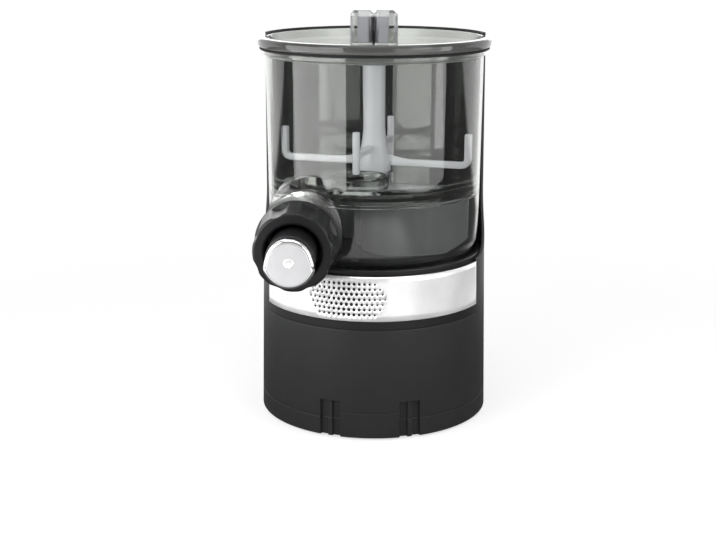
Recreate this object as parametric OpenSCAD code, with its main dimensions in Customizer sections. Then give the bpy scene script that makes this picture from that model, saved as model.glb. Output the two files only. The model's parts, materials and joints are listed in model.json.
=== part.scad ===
// Electric pasta maker: a motor base with a tall rear shell, a lift-off mixing
// bowl with a forward nozzle, and a gear train that turns a press rotor and paddle.
// Millimetres, +Z up, origin on the table below the bowl axis, nozzle towards -Y.

/* [Motor base] */
// Radius of the body at the table
base_r = 112.5; // [112:0.5:140]
// Radius that the body loses between the table and the top of its base
base_taper = 3.3; // [1:0.1:6]
// Height of the motor base, to the top of the steel band
base_h = 158; // [150:1:200]
// Thickness of the moulded housing walls
wall = 2.5; // [2:0.1:3]
// Height of the seam between the base tray and the housing
seam_z = 19.2; // [15:0.2:24]
// Distance of the straight side seam in front of the bowl axis
seam_front = 44.6; // [35:0.2:55]
// Height of the steel band
band_h = 42.5; // [35:0.5:46]
// Thickness of the steel band
band_t = 0.8; // [0.5:0.1:1.2]
// Height of the plain lip below the steel band
lip_h = 8.5; // [4:0.5:12]
// Distance from the middle to the centre of each front groove
groove_x = 38; // [32:0.5:44]
// Width of each front groove
groove_w = 20; // [14:0.5:24]
// Height of the front grooves
groove_h = 36; // [28:1:42]
// Depth of the front grooves
groove_d = 3.2; // [2:0.1:4]
// Radius of the rubber feet
foot_r = 9; // [7:0.5:12]

/* [Rear shell] */
// Radius that the rear shell loses between the base and its top
shell_taper = 1.6; // [0.5:0.1:3]
// Distance of the shell's upright front edges behind the bowl axis
shell_edge = 15; // [8:0.5:30]
// Height of the shell above the lid rim
shell_over = 2.4; // [1:0.1:6]

/* [Bowl] */
// Height of the bowl from its seat to the top of its rim
bowl_h = 196; // [180:1:240]
// Wall thickness of the bowl
bowl_wall = 2.6; // [2:0.1:3.4]
// Radius that the bowl loses from rim to foot
bowl_taper = 1.8; // [0.5:0.1:3]
// Outside radius of the bowl's bottom corner
bowl_corner = 12; // [8:0.5:18]
// Gap between the bowl and the shell around it
bowl_gap = 0.7; // [0.5:0.1:1.5]
// Height of the kneading deck above the bowl's seat
deck_h = 75; // [70:1:90]
// Height of the rim band around the kneading deck
deck_band = 13; // [8:0.5:14]
// Radius of the feed opening in the deck
feed_r = 25; // [18:0.5:27]
// Sideways place of the feed opening
feed_x = -12; // [-20:1:0]
// Distance of the feed opening in front of the axis
feed_front = 47; // [44:1:56]

/* [Nozzle] */
// Distance of the nozzle axis to the left of the bowl axis
nozzle_x = 67; // [60:1:70]
// Height of the nozzle axis above the bowl's seat
nozzle_h = 30; // [29:0.5:34]
// Radius of the passage through the spout
spout_bore = 23; // [18:0.5:24]
// Outside radius of the spout's threaded end
spout_r = 30.5; // [28:0.5:31]
// Radius of the horn where the spout meets the bowl
flare_r = 42; // [38:0.5:44]
// Sideways step from the nozzle axis to the middle of the horn
horn_x = 13; // [8:0.5:18]
// Distance from the bowl wall to the back of the nut
spout_reach = 27; // [24:1:40]
// Length of the nut
nut_len = 45; // [36:1:54]
// Radius of the nut at its back
nut_back_r = 38.6; // [38:0.1:44]
// Radius of the nut at its front
nut_front_r = 36; // [34:0.1:38]
// Radius of the opening in the nut's front
nut_hole_r = 25; // [24:0.1:28]
// Outside radius of the die sleeve
sleeve_r = 21.8; // [18:0.1:22.5]
// Distance of the hood's face in front of the nut
hood_out = 38; // [30:1:48]
// Depth of the chrome hood
hood_depth = 14; // [10:0.5:20]

/* [Lid and knob] */
// Distance that the lid's front flange stands out over the top of the base
lid_over = 2.3; // [2:0.1:5]
// Height of the lid from its flange to the top of its rim
lid_h = 11.2; // [8:0.2:16]
// Width of the raised rim round the lid's top
lid_rim_w = 10.5; // [9.5:0.5:16]
// Width of the knob
knob_w = 45; // [38:1:52]
// Depth of the knob from front to back
knob_d = 42; // [34:1:50]
// Height of the knob
knob_h = 34.3; // [28:0.5:42]
// Width of the groove between the knob's two lobes
knob_groove = 7; // [4:0.5:10]

/* [Mixing parts] */
// Radius of the paddle's stem
stem_r = 10.6; // [8:0.2:13]
// Radius of the pin at the top of the stem
stem_pin_r = 6; // [5:0.1:7.5]
// Thickness of the paddle's arms
arm_t = 7; // [5:0.5:9]
// Thickness of the press rotor's blades
blade_t = 6; // [4:0.5:8]

/* [Drive] */
// Module of the first gear pair
mod_1 = 1.25; // [1:0.05:1.25]
// Module of the second gear pair
mod_2 = 1.5; // [1.25:0.05:1.5]
// Teeth of both pinions
pinion_teeth = 17; // [17:1:19]
// Teeth of the large intermediate gear
gear_1_teeth = 66; // [54:1:66]
// Teeth of the output gear
gear_2_teeth = 58; // [50:1:58]
// Face width of the first gear pair
face_1 = 8; // [6:0.5:10]
// Face width of the second gear pair
face_2 = 14; // [10:0.5:16]
// Radius of the motor can
motor_r = 34; // [28:0.5:36]
// Length of the motor can
motor_len = 64; // [50:1:66]
// Radius of the motor shaft
motor_shaft_r = 3; // [2.5:0.1:4]
// Radius of the output shaft
out_shaft_r = 6; // [5:0.1:7]
// Corner radius of the six-sided drive hub
hex_r = 9.5; // [8:0.1:10]

/* [Controls] */
// Direction of the control fascia, in degrees from the front towards the right
fascia_turn = 122; // [115:1:135]
// Height of the middle of the control fascia
fascia_z = 78; // [70:1:90]
// Width of the control fascia
fascia_w = 28; // [24:1:34]
// Height of the control fascia
fascia_h = 84; // [80:1:96]
// Radius of the buttons
button_r = 7; // [5:0.5:8]
// Travel of the buttons
button_travel = 1.5; // [0.8:0.1:2]

/* [Hidden] */

$fn = 96;
charcoal = [0.19, 0.19, 0.2];
black = [0.12, 0.12, 0.13];
smoke = [0.5, 0.52, 0.5];
steel = [0.8, 0.8, 0.8];
zinc = [0.62, 0.63, 0.65];
frosted = [0.84, 0.83, 0.88];
rubber = [0.08, 0.08, 0.08];
copper = [0.72, 0.43, 0.24];
bronze = [0.7, 0.55, 0.3];
acetal = [0.93, 0.93, 0.9];
board_green = [0.1, 0.35, 0.2];

eps = 0.05;
slip = 0.3;            // gap between pieces that move past each other
run_gap = 0.05;        // radial gap of a shaft in its bush
face_gap = 0.1;        // gap between a gasket and the face it will be pressed on
far = 2 * (base_r + base_h + bowl_h);

// heights, from the table up
tray_z = 1.5;
tray_floor = tray_z + 3;
apron_top = base_h - band_h - lip_h;
tongue_top = seam_z + 7;
tongue_w = 2 * groove_x - groove_w;
groove_turn = asin(groove_x / base_r);
band_z0 = base_h - band_h;
seat_z = base_h + 2;
deck_plate_t = 4;
deck_plate_z = base_h - 10;
ring_top = seat_z + 3;
bowl_floor = seat_z + 3;
nozzle_z = seat_z + nozzle_h;
deck_z = seat_z + deck_h;
deck_under = deck_z - deck_band;
rim_z = seat_z + bowl_h;
lid_z0 = rim_z + slip;
lid_top = lid_z0 + lid_h;
lid_plate_z = lid_z0 + 2.3;
shell_top = lid_top + shell_over;
knob_top = lid_plate_z + knob_h;

// radii
function body_r(z) = z <= base_h ? base_r - base_taper * z / base_h
    : base_r - base_taper - shell_taper * (z - base_h) / (shell_top - base_h);
inner_r_top = body_r(shell_top) - wall;
bowl_r_top = inner_r_top - bowl_gap;
function bowl_r(z) = bowl_r_top - bowl_taper * (rim_z - z) / bowl_h;
band_recess = band_t + 0.1;
seat_ring_r = body_r(base_h) - band_recess - wall - slip;
deck_plate_r = body_r(deck_plate_z) - wall - slip;
neck_r = hex_r + 3.5;
neck_wall = 2.5;
neck_top = seat_z + 26;
ledge_z = deck_under - 3;

lid_r = body_r(base_h) + lid_over;
lid_recess_r = lid_r - lid_rim_w;

// gear train
pinion_1_r = mod_1 * pinion_teeth / 2;
gear_1_r = mod_1 * gear_1_teeth / 2;
pinion_2_r = mod_2 * pinion_teeth / 2;
gear_2_r = mod_2 * gear_2_teeth / 2;
idler_dist = pinion_2_r + gear_2_r;
motor_dist = pinion_1_r + gear_1_r;
idler_turn = 135;
motor_turn = -10;
idler_pos = idler_dist * [cos(idler_turn), sin(idler_turn)];
motor_pos = idler_pos + motor_dist * [cos(motor_turn), sin(motor_turn)];
box_wall = 3;
box_gap = 2;
post_h = 18;
cover_t = 4;
floor_t = 4;
cover_z = deck_plate_z - post_h - cover_t;
gear_2_z = cover_z - box_gap - face_2;
gear_1_z = gear_2_z - box_gap - face_1;
box_floor = gear_1_z - box_gap;
can_top = box_floor - floor_t;
can_bottom = can_top - motor_len;
box_r_out = gear_2_r + mod_2 + box_gap + box_wall;
box_r_idler = gear_1_r + mod_1 + box_gap + box_wall;
post_r = 5;
post_list = [for (a = [-20, -110]) (box_r_out - 1) * [cos(a), sin(a)],
    for (a = [30, 240]) idler_pos + (box_r_idler - 1) * [cos(a), sin(a)]];
bush_wall = 4;
bush_h = 8;
axle_r = 4;

// nozzle, along -Y from the bowl wall
nozzle_pos = [-nozzle_x, 0, nozzle_z];
horn_z = ring_top + slip + flare_r;
horn_root = 32;
wall_front = sqrt(pow(bowl_r(nozzle_z), 2) - pow(nozzle_x, 2));
nut_back = wall_front + spout_reach;
nut_front = nut_back + nut_len;
hood_front = nut_front + hood_out;
hood_back = hood_front - hood_depth;
lug_h = 2.2;
lug_t = 3;
spout_front = nut_back + 2 * lug_t + 3 * slip;
gasket_t = 2;
flange_t = 4;
sleeve_wall = 2.8;
die_t = 5;
die_back = hood_back - 2;
hood_wall = 1.2;

// bosses and screws
screw_r = 2;
boss_r = 4.5;
tray_boss_r = base_r - 24;
tray_boss_turns = [30, 155, 205, 330];
deck_screw_r = deck_plate_r - 4.5;
deck_screw_turns = [100, 150, 210, 260];
foot_turns = [48, 132, 228, 312];
foot_ring_r = base_r - 20;

// --- shared shapes ---

// Point at a radius, in a direction turned from the front towards the right
function around(r, a) = [r * sin(a), -r * cos(a)];

// Solid of revolution whose side follows the body's taper
module body_solid(z0, z1, inset = 0) {
    translate([0, 0, z0])
        cylinder(h = z1 - z0, r1 = body_r(z0) - inset, r2 = body_r(z1) - inset);
}

// Whole housing volume from z0 up to z1, across the change of taper
module housing_solid(z0, z1, inset = 0) {
    body_solid(z0, base_h, inset);
    body_solid(base_h, z1, inset);
}

// Everything in front of the housing's side seam, at all heights
module front_zone(gap = 0) {
    translate([-far / 2, -far - seam_front - gap, -far / 2]) cube([far, far, 2 * far]);
}

// Side outline of the opening that the bowl stands in, in front of the shell
module opening_outline() {
    corner = shell_edge + seam_front;
    translate([-far, seat_z]) square([far - seam_front, far]);
    translate([-far, seat_z + corner]) square([far + shell_edge, far]);
    translate([-seam_front, seat_z + corner]) circle(r = corner);
}

// Tube along Z
module tube(h, r_out, r_in) {
    difference() {
        cylinder(h = h, r = r_out);
        translate([0, 0, -eps]) cylinder(h = h + 2 * eps, r = r_in);
    }
}

// Places its children on the nozzle axis, with their +Z pointing to the front
module on_nozzle(front) {
    translate([nozzle_pos[0], -front, nozzle_pos[2]]) rotate([90, 0, 0]) children();
}

// Places its children on the control fascia, with their +Z pointing outwards
module on_fascia(r, z) {
    rotate([0, 0, fascia_turn]) translate([0, -r, z]) rotate([90, 0, 0]) children();
}

// Pan-head screw standing on z = 0 with its shank going down
module screw(len, r = screw_r) {
    translate([0, 0, -len]) cylinder(h = len + eps, r = r, $fn = 32);
    difference() {
        cylinder(h = r * 1.1, r = r * 1.9, $fn = 32);
        translate([0, 0, r * 0.5]) cylinder(h = r, r = r * 0.8, $fn = 6);
    }
}

// Angle in degrees by which an involute has turned where it reaches radius r
function inv_turn(base, r) = let (t = sqrt(max(0, pow(r / base, 2) - 1))) t * 180 / PI - atan(t);

// Half of the angle that a tooth fills at radius r
function half_tooth(m, n, r, play) = let (pitch = m * n / 2, base = pitch * cos(20))
    90 / n - play / pitch * 180 / PI + inv_turn(base, pitch) - inv_turn(base, r);

// Outline of an involute gear with a tooth centred on +X
module gear_outline(m, n, play = 0.1) {
    pitch = m * n / 2;
    base = pitch * cos(20);
    root = pitch - 1.25 * m;
    low = max(base, root);
    radii = [root, low, pitch - 0.3 * m, pitch + 0.3 * m, pitch + m];
    points = [for (i = [0:n - 1], s = [-1, 1], k = [0:4])
        let (r = radii[s < 0 ? k : 4 - k], a = 360 * i / n + s * half_tooth(m, n, max(r, low), play))
        r * [cos(a), sin(a)]];
    polygon(points);
}

module gear(m, n, h, turn = 0) {
    rotate([0, 0, turn]) linear_extrude(height = h) gear_outline(m, n);
}

// --- motor base ---

module base_tray() {
    lip_gap = 0.2;
    lip_start = groove_x + groove_w / 2 + 6;
    color(charcoal) difference() {
        union() {
            // wall with the raised tongue between the front grooves
            difference() {
                union() {
                    body_solid(tray_z, seam_z);
                    intersection() {
                        body_solid(tray_floor, tongue_top);
                        translate([-tongue_w / 2, -far, 0]) cube([tongue_w, far, far]);
                    }
                }
                body_solid(tray_floor, tongue_top + 1, wall);
            }
            // register lip inside the housing, clear of the grooves
            difference() {
                union() {
                    body_solid(seam_z - 3, seam_z, wall / 2);
                    body_solid(seam_z - eps, seam_z + 4, wall + lip_gap);
                }
                body_solid(seam_z - 4, seam_z + 5, 2 * wall + lip_gap);
                translate([-lip_start, -far, 0]) cube([2 * lip_start, far, far]);
            }
            groove_pads(tray_z, seam_z);
            for (a = tray_boss_turns)
                translate(concat(around(tray_boss_r, a), tray_floor - eps)) cylinder(h = 6, r = boss_r + 2);
            for (x = [-1, 1], y = [-1, 1])
                translate([x * board_w * 0.42, board_y + y * board_d * 0.38, tray_floor - eps])
                    cylinder(h = board_z - tray_floor + eps, r = 3);
        }
        front_grooves();
        for (a = foot_turns)
            translate(concat(around(foot_ring_r, a), tray_z - 1)) cylinder(h = 3, r = foot_r + 0.1);
        translate([0, 0, tray_z - 1]) cylinder(h = 3, r = foot_r + 0.1);
        for (a = tray_boss_turns) translate(concat(around(tray_boss_r, a), 0)) {
            cylinder(h = 20, r = screw_r + 0.2);
            cylinder(h = tray_floor, r = screw_r * 2 + 0.4);
        }
        // air inlet slots below the fan
        for (i = [-4:4]) translate([motor_pos[0] + i * 6 - 1.5, motor_pos[1] - 18, 0]) cube([3, 36, tray_floor + 1]);
    }
}

// Two upright grooves low on the front, each with a slim rib down its middle
module front_grooves() {
    rib = groove_w * 0.22;
    depth = far - base_r + groove_d;
    for (s = [-1, 1]) rotate([0, 0, s * groove_turn]) difference() {
        translate([-groove_w / 2, -far, -1]) cube([groove_w, depth, groove_h + 1]);
        translate([-rib / 2, -far, -2]) cube([rib, depth + 1, groove_h + 3]);
    }
}

// Thicker wall behind the grooves
module groove_pads(z0, z1) {
    for (s = [-1, 1]) intersection() {
        difference() {
            body_solid(z0, z1, wall / 2);
            body_solid(z0 - 1, z1 + 1, groove_d + wall);
        }
        rotate([0, 0, s * groove_turn]) translate([-groove_w / 2 - 2, -far, 0])
            cube([groove_w + 4, far - seam_front, far]);
    }
}

module rubber_feet() {
    color(rubber) {
        for (a = foot_turns) translate(around(foot_ring_r, a)) difference() {
            cylinder(h = tray_z + 2, r = foot_r);
            translate([0, 0, -eps]) cylinder(h = 0.8, r = foot_r - 3);
        }
        // plain pad under the bowl axis
        cylinder(h = tray_z + 2, r = foot_r);
    }
}

module tray_screws() {
    color(zinc) for (a = tray_boss_turns)
        translate(concat(around(tray_boss_r, a), tray_floor)) mirror([0, 0, 1]) screw(14);
}

gland_z = seam_z + 14;
gland_r = 6.5;
cord_r = 3.1;

module rear_shell() {
    ledge_d = 8;
    color(charcoal) difference() {
        union() {
            difference() {
                housing_solid(seam_z, shell_top);
                translate([0, 0, -eps]) housing_solid(seam_z - 1, shell_top + 1, wall);
            }
            // inner ledge that carries the top deck
            difference() {
                body_solid(deck_plate_z - 5, deck_plate_z, wall - eps);
                translate([0, 0, deck_plate_z - 6]) cylinder(h = 7, r = deck_plate_r - ledge_d);
            }
            for (a = [tray_boss_turns[1], tray_boss_turns[2]]) rotate([0, 0, a]) {
                translate([0, -tray_boss_r, tray_floor + 6]) cylinder(h = 60, r = boss_r);
                translate([-wall / 2, -body_r(seam_z + 40) + wall / 2, seam_z + 8]) cube([wall, 24 - wall, 44]);
            }
        }
        front_zone();
        rotate([90, 0, 90]) linear_extrude(height = far, center = true) opening_outline();
        for (a = [tray_boss_turns[1], tray_boss_turns[2]])
            translate(concat(around(tray_boss_r, a), 0)) cylinder(h = 30, r = screw_r + eps);
        for (a = deck_screw_turns)
            translate(concat(around(deck_screw_r, a), deck_plate_z - 8)) cylinder(h = 12, r = screw_r);
        // vents low on the back
        for (i = [-4:4]) rotate([0, 0, 180 + i * 5])
            translate([-1.5, -far, gland_z + 16]) cube([3, far - base_r + 8, 44]);
        translate(concat(around(base_r, 180), gland_z)) rotate([90, 0, 0])
            cylinder(h = 30, r = gland_r + 0.1, center = true);
        // window for the control fascia
        on_fascia(base_r - 12, fascia_z)
            translate([-fascia_w / 2 - 0.15, -fascia_h / 2 - 0.15, 0]) cube([fascia_w + 0.3, fascia_h + 0.3, 40]);
    }
}

module front_apron() {
    seam_gap = 0.4;
    color(charcoal) union() {
        difference() {
            union() {
                intersection() {
                    difference() {
                        body_solid(seam_z, apron_top);
                        body_solid(seam_z - 1, apron_top + 1, wall);
                    }
                    front_zone(seam_gap);
                }
                groove_pads(seam_z, groove_h + 3);
            }
            front_grooves();
            translate([-tongue_w / 2, -far, 0]) cube([tongue_w, far - seam_front, tongue_top]);
        }
        for (a = [tray_boss_turns[0], tray_boss_turns[3]]) rotate([0, 0, a]) difference() {
            union() {
                translate([0, -tray_boss_r, tray_floor + 6]) cylinder(h = 60, r = boss_r);
                translate([-wall / 2, -body_r(seam_z + 40) + wall / 2, seam_z + 26]) cube([wall, 24 - wall, 26]);
            }
            translate([0, -tray_boss_r, 0]) cylinder(h = 30, r = screw_r + eps);
        }
    }
}

module top_deck() {
    seam_gap = 0.4;
    window_a = 24;
    color(black) difference() {
        union() {
            translate([0, 0, deck_plate_z]) cylinder(h = deck_plate_t, r = deck_plate_r);
            // front skirt behind the steel band, with the plain lip below it
            intersection() {
                difference() {
                    union() {
                        body_solid(apron_top, band_z0);
                        body_solid(apron_top, base_h, band_recess);
                    }
                    body_solid(apron_top - 1, base_h + 1, band_recess + wall);
                }
                front_zone(seam_gap);
            }
            translate([0, 0, deck_plate_z - 4]) cylinder(h = 4 + deck_plate_t + 2, r = hex_r + 2 + 7.5);
        }
        translate([0, 0, deck_plate_z - 5]) cylinder(h = 20, r = seal_r + eps);
        for (p = post_list) translate([p[0], p[1], deck_plate_z - 1]) {
            cylinder(h = 20, r = screw_r + 0.2);
        }
        for (a = deck_screw_turns)
            translate(concat(around(deck_screw_r, a), deck_plate_z - 1)) cylinder(h = 20, r = screw_r + 0.2);
        translate([plunger_pos[0], plunger_pos[1], deck_plate_z - 1]) cylinder(h = 10, r = plunger_r + slip);
        // air window behind the perforated part of the band
        for (a = [-window_a, -window_a + 10, -window_a + 20, -window_a + 30]) rotate([0, 0, a])
            translate([-5, -far, band_z0 + 5]) cube([10, far - base_r + 12, band_h - 17]);
    }
}

module steel_band() {
    seam_gap = 0.6;
    color(steel) intersection() {
        difference() {
            body_solid(band_z0 + 0.15, base_h - 0.1);
            body_solid(band_z0 - 1, base_h + 1, band_t);
        }
        front_zone(seam_gap);
    }
}

module intake_filter() {
    a = -9;
    inset = band_recess + wall + 0.1;
    color(rubber) intersection() {
        difference() {
            body_solid(band_z0 + 3, base_h - 11, inset);
            body_solid(band_z0 + 2, base_h - 10, inset + 2);
        }
        rotate([0, 0, a]) translate([-44, -far, 0]) cube([88, far - 40, far]);
    }
}

module bowl_seat_ring() {
    lip = bowl_r(seat_z + bowl_corner) - 2.2;
    color(rubber) difference() {
        translate([0, 0, deck_plate_z + deck_plate_t]) cylinder(h = ring_top - deck_plate_z - deck_plate_t, r = seat_ring_r);
        translate([0, 0, seat_z]) cylinder(h = 10, r = lip);
        cylinder(h = far, r = lip - 22);
        for (a = deck_screw_turns)
            translate(concat(around(deck_screw_r, a), deck_plate_z)) cylinder(h = 20, r = screw_r * 2 + 0.4);
        translate([plunger_pos[0], plunger_pos[1], deck_plate_z]) cylinder(h = 20, r = plunger_r + slip);
    }
}

module deck_screws() {
    color(zinc) for (a = deck_screw_turns)
        translate(concat(around(deck_screw_r, a), deck_plate_z + deck_plate_t)) screw(9);
}

module cord_gland() {
    inner_t = 3.5;
    inner_gap = 0.5;
    collar_t = 2.4;
    inner_start = wall + inner_gap + inner_t;
    collar_start = inner_start + 0.3;
    color(rubber) translate(concat(around(body_r(gland_z) - inner_start, 180), gland_z)) rotate([-90, 0, 0]) difference() {
        union() {
            cylinder(h = inner_start + 7.5, r = gland_r);
            cylinder(h = inner_t, r = gland_r + 2);
            translate([0, 0, collar_start]) cylinder(h = collar_t, r = gland_r + 1.2);
        }
        translate([0, 0, -1]) cylinder(h = 20, r = cord_r);
    }
}

// --- controls ---

fascia_r = body_r(fascia_z) + 0.7;
fascia_t = 3;
button_zs = [fascia_z - 29, fascia_z - 9, fascia_z + 10, fascia_z + 29];
board_r = fascia_r - 20;

module control_fascia() {
    flange = 2;
    flange_out = sqrt(pow(body_r(fascia_z - fascia_h / 2) - wall - 1.4, 2) - pow(fascia_w / 2 + flange, 2)) - 0.4;
    color(black) on_fascia(0, fascia_z) difference() {
        union() {
            translate([-fascia_w / 2, -fascia_h / 2, flange_out - 2]) cube([fascia_w, fascia_h, fascia_r - flange_out + 2]);
            translate([-fascia_w / 2 - flange, -fascia_h / 2 - flange, flange_out - 3])
                cube([fascia_w + 2 * flange, fascia_h + 2 * flange, 3]);
        }
        translate([-fascia_w / 2 + 2, -fascia_h / 2 + 2, flange_out - 10])
            cube([fascia_w - 4, fascia_h - 4, fascia_r - flange_out + 10 - fascia_t]);
        for (z = button_zs) translate([0, z - fascia_z, fascia_r - 10]) cylinder(h = 20, r = button_r + slip);
    }
}

module fascia_screws() {
    color(zinc) for (s = [-1, 1])
        on_fascia(board_r + 1.6, fascia_z + s * (fascia_h / 2 - 5)) screw(6, 1.4);
}

module button(z) {
    color(smoke) on_fascia(fascia_r, z) {
        translate([0, 0, -fascia_t - 0.1]) cylinder(h = fascia_t + 1.6, r = button_r);
        translate([0, 0, -fascia_t - 1.8]) cylinder(h = 1.7, r = button_r + 1.5);
        translate([0, 0, -fascia_r + board_r + 1.6 + 3 + button_travel + slip])
            cylinder(h = fascia_r - board_r - 1.6 - 3 - button_travel - slip - fascia_t - 1, r = 2);
    }
}

module button_power() { button(button_zs[3]); }
module button_auto() { button(button_zs[2]); }
module button_mix() { button(button_zs[1]); }
module button_extrude() { button(button_zs[0]); }

module control_board() {
    post = 2.5;
    color(board_green) on_fascia(board_r, fascia_z) {
        difference() {
            translate([-fascia_w / 2 + 1, -fascia_h / 2 + 1, 0]) cube([fascia_w - 2, fascia_h - 2, 1.6]);
            for (s = [-1, 1]) translate([0, s * (fascia_h / 2 - 5), -1]) cylinder(h = 4, r = 1.5);
        }
        for (z = button_zs) translate([-3, z - fascia_z - 3, 1.6 - eps]) cube([6, 6, 3 + eps]);
        // corner posts that stand off the fascia's side walls
        for (x = [-1, 1], y = [-1, 1])
            translate([x * (fascia_w / 2 - 3.3 - post / 2) - post / 2, y * (fascia_h / 2 - 3.3 - post / 2) - post / 2, 1.6 - eps])
                cube([post, post, fascia_r - fascia_t - board_r - 1.6 + eps]);
    }
}

board_w = 76;
board_d = 40;
board_y = -56;
board_z = tray_floor + 6;

module power_board() {
    color(board_green) translate([0, board_y, board_z]) {
        translate([-board_w / 2, -board_d / 2, 0]) cube([board_w, board_d, 1.6]);
        translate([-34, -16, 1.6 - eps]) cube([30, 26, 24]);
        translate([8, -10, 1.6 - eps]) cylinder(h = 26, r = 8);
        translate([28, -8, 1.6 - eps]) cylinder(h = 18, r = 5);
        translate([16, 4, 1.6 - eps]) cube([18, 12, 14]);
    }
}

// --- gearbox ---

module box_outline(grow) {
    circle(r = box_r_out + grow);
    translate(idler_pos) circle(r = box_r_idler + grow);
}

module gearbox_housing() {
    color(zinc) difference() {
        union() {
            translate([0, 0, can_top]) linear_extrude(height = cover_z - can_top) box_outline(0);
            for (p = post_list) translate([p[0], p[1], can_top]) cylinder(h = cover_z - can_top, r = post_r);
        }
        translate([0, 0, box_floor]) linear_extrude(height = far) box_outline(-box_wall);
        translate([0, 0, can_top - 1]) cylinder(h = 20, r = out_shaft_r + bush_wall);
        translate([idler_pos[0], idler_pos[1], can_top + 1]) cylinder(h = 20, r = axle_r);
        translate([motor_pos[0], motor_pos[1], can_top - 1]) cylinder(h = 20, r = motor_shaft_r + 6);
        for (p = post_list) translate([p[0], p[1], can_top + 6]) cylinder(h = far, r = screw_r);
        for (p = motor_screw_list) translate([p[0], p[1], can_top - 1]) cylinder(h = 20, r = screw_r + 0.2);
    }
}

module gearbox_cover() {
    color(zinc) difference() {
        union() {
            translate([0, 0, cover_z]) linear_extrude(height = cover_t) box_outline(0);
            translate([0, 0, cover_z]) cylinder(h = bush_h + 3, r = out_shaft_r + bush_wall + 3);
            for (p = post_list) translate([p[0], p[1], cover_z]) cylinder(h = deck_plate_z - cover_z, r = post_r);
        }
        translate([0, 0, cover_z - 1]) cylinder(h = 30, r = out_shaft_r + bush_wall);
        translate([idler_pos[0], idler_pos[1], cover_z - 1]) cylinder(h = cover_t, r = axle_r);
        for (p = post_list) translate([p[0], p[1], cover_z - 1]) cylinder(h = far, r = screw_r + 0.2);
    }
}

module gearbox_screws() {
    color(zinc) for (p = post_list)
        translate([p[0], p[1], deck_plate_z + deck_plate_t]) screw(deck_plate_t + post_h + cover_t + 12);
}

module output_bush_lower() {
    color(bronze) translate([0, 0, can_top]) tube(bush_h, out_shaft_r + bush_wall, out_shaft_r + run_gap);
}

module output_bush_upper() {
    color(bronze) translate([0, 0, cover_z]) tube(bush_h + 3, out_shaft_r + bush_wall, out_shaft_r + run_gap);
}

hub_round_r = hex_r + 2;
seal_r = hub_round_r + 4.5;

module shaft_seal() {
    color(rubber) translate([0, 0, deck_plate_z - 4]) tube(9, seal_r, hub_round_r + run_gap);
}

plunger_pos = around(deck_plate_r - 20, 180);
plunger_r = 2.5;
switch_h = 12;

module interlock_switch() {
    color(black) translate([plunger_pos[0], plunger_pos[1], deck_plate_z - switch_h]) difference() {
        translate([-10, -4, 0]) cube([20, 8, switch_h]);
        translate([0, 0, 4]) cylinder(h = 20, r = plunger_r + slip);
    }
}

module interlock_plunger() {
    color(acetal) translate([plunger_pos[0], plunger_pos[1], deck_plate_z - switch_h + 4 + 1.5])
        cylinder(h = seat_z - slip - (deck_plate_z - switch_h + 5.5), r = plunger_r);
}

// --- motor ---

motor_screw_list = [for (a = [-90, -20]) motor_pos + 20 * [cos(a), sin(a)]];
bell_t = 3;

module at_motor(z) {
    translate([motor_pos[0], motor_pos[1], z]) children();
}

module motor_can() {
    color(zinc) difference() {
        at_motor(can_bottom) cylinder(h = motor_len, r = motor_r);
        at_motor(can_bottom - 1) cylinder(h = motor_len - 2, r = motor_r - 1.6);
        at_motor(can_top - 10) cylinder(h = 20, r = motor_shaft_r + run_gap);
        for (p = motor_screw_list) translate([p[0], p[1], can_top - 10]) cylinder(h = 20, r = screw_r);
        for (a = [0:45:315]) at_motor(can_bottom + 6) rotate([0, 0, a]) translate([motor_r - 3, -3, 0]) cube([6, 6, 10]);
    }
}

module motor_magnets() {
    color(charcoal) difference() {
        at_motor(can_bottom + 20) tube(motor_len - 30, motor_r - 1.7, motor_r - 6);
        at_motor(can_bottom) for (a = [0, 90]) rotate([0, 0, a]) translate([-far / 2, -3, 0]) cube([far, 6, far]);
    }
}

module motor_end_bell() {
    color(black) difference() {
        at_motor(can_bottom - bell_t) {
            cylinder(h = bell_t, r = motor_r);
            cylinder(h = bell_t + 6, r = motor_shaft_r + 6);
        }
        at_motor(can_bottom - 10) cylinder(h = 30, r = motor_shaft_r + run_gap);
        for (a = [30:60:330]) at_motor(can_bottom - 10) rotate([0, 0, a]) translate([22, 0, 0]) cylinder(h = 30, r = 5);
    }
}

module motor_screws() {
    color(zinc) for (p = motor_screw_list) translate([p[0], p[1], box_floor]) screw(6, screw_r);
}

fan_h = 10;
fan_z = can_bottom - bell_t - 3 - fan_h;
rotor_z = can_bottom + 24;
rotor_len = motor_len - 38;
rotor_r = motor_r - 7;

module motor_shaft() {
    color(steel) at_motor(fan_z - 1) cylinder(h = gear_1_z + face_1 + 1 - fan_z, r = motor_shaft_r);
}

module rotor_core() {
    color(zinc) at_motor(rotor_z) difference() {
        cylinder(h = rotor_len, r = rotor_r);
        translate([0, 0, -1]) cylinder(h = rotor_len + 2, r = motor_shaft_r);
        for (a = [0:30:330]) rotate([0, 0, a]) translate([rotor_r * 0.5, -1.4, -1]) cube([rotor_r, 2.8, rotor_len + 2]);
    }
}

module rotor_winding() {
    color(copper) for (z = [rotor_z - 5, rotor_z + rotor_len])
        at_motor(z) tube(5, rotor_r - 3, rotor_r - 13);
    color(copper) at_motor(rotor_z - 13) tube(8, 9, motor_shaft_r);
}

module cooling_fan() {
    blade_n = 9;
    fan_r = motor_r - 5;
    color(acetal) at_motor(fan_z) difference() {
        union() {
            cylinder(h = fan_h, r = 9);
            cylinder(h = 1.5, r = fan_r);
            for (i = [0:blade_n - 1]) rotate([0, 0, 360 * i / blade_n]) translate([6, -0.8, 0]) cube([fan_r - 8, 1.6, fan_h - 1]);
        }
        translate([0, 0, -1]) cylinder(h = fan_h + 2, r = motor_shaft_r);
    }
}

// --- gears ---

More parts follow.
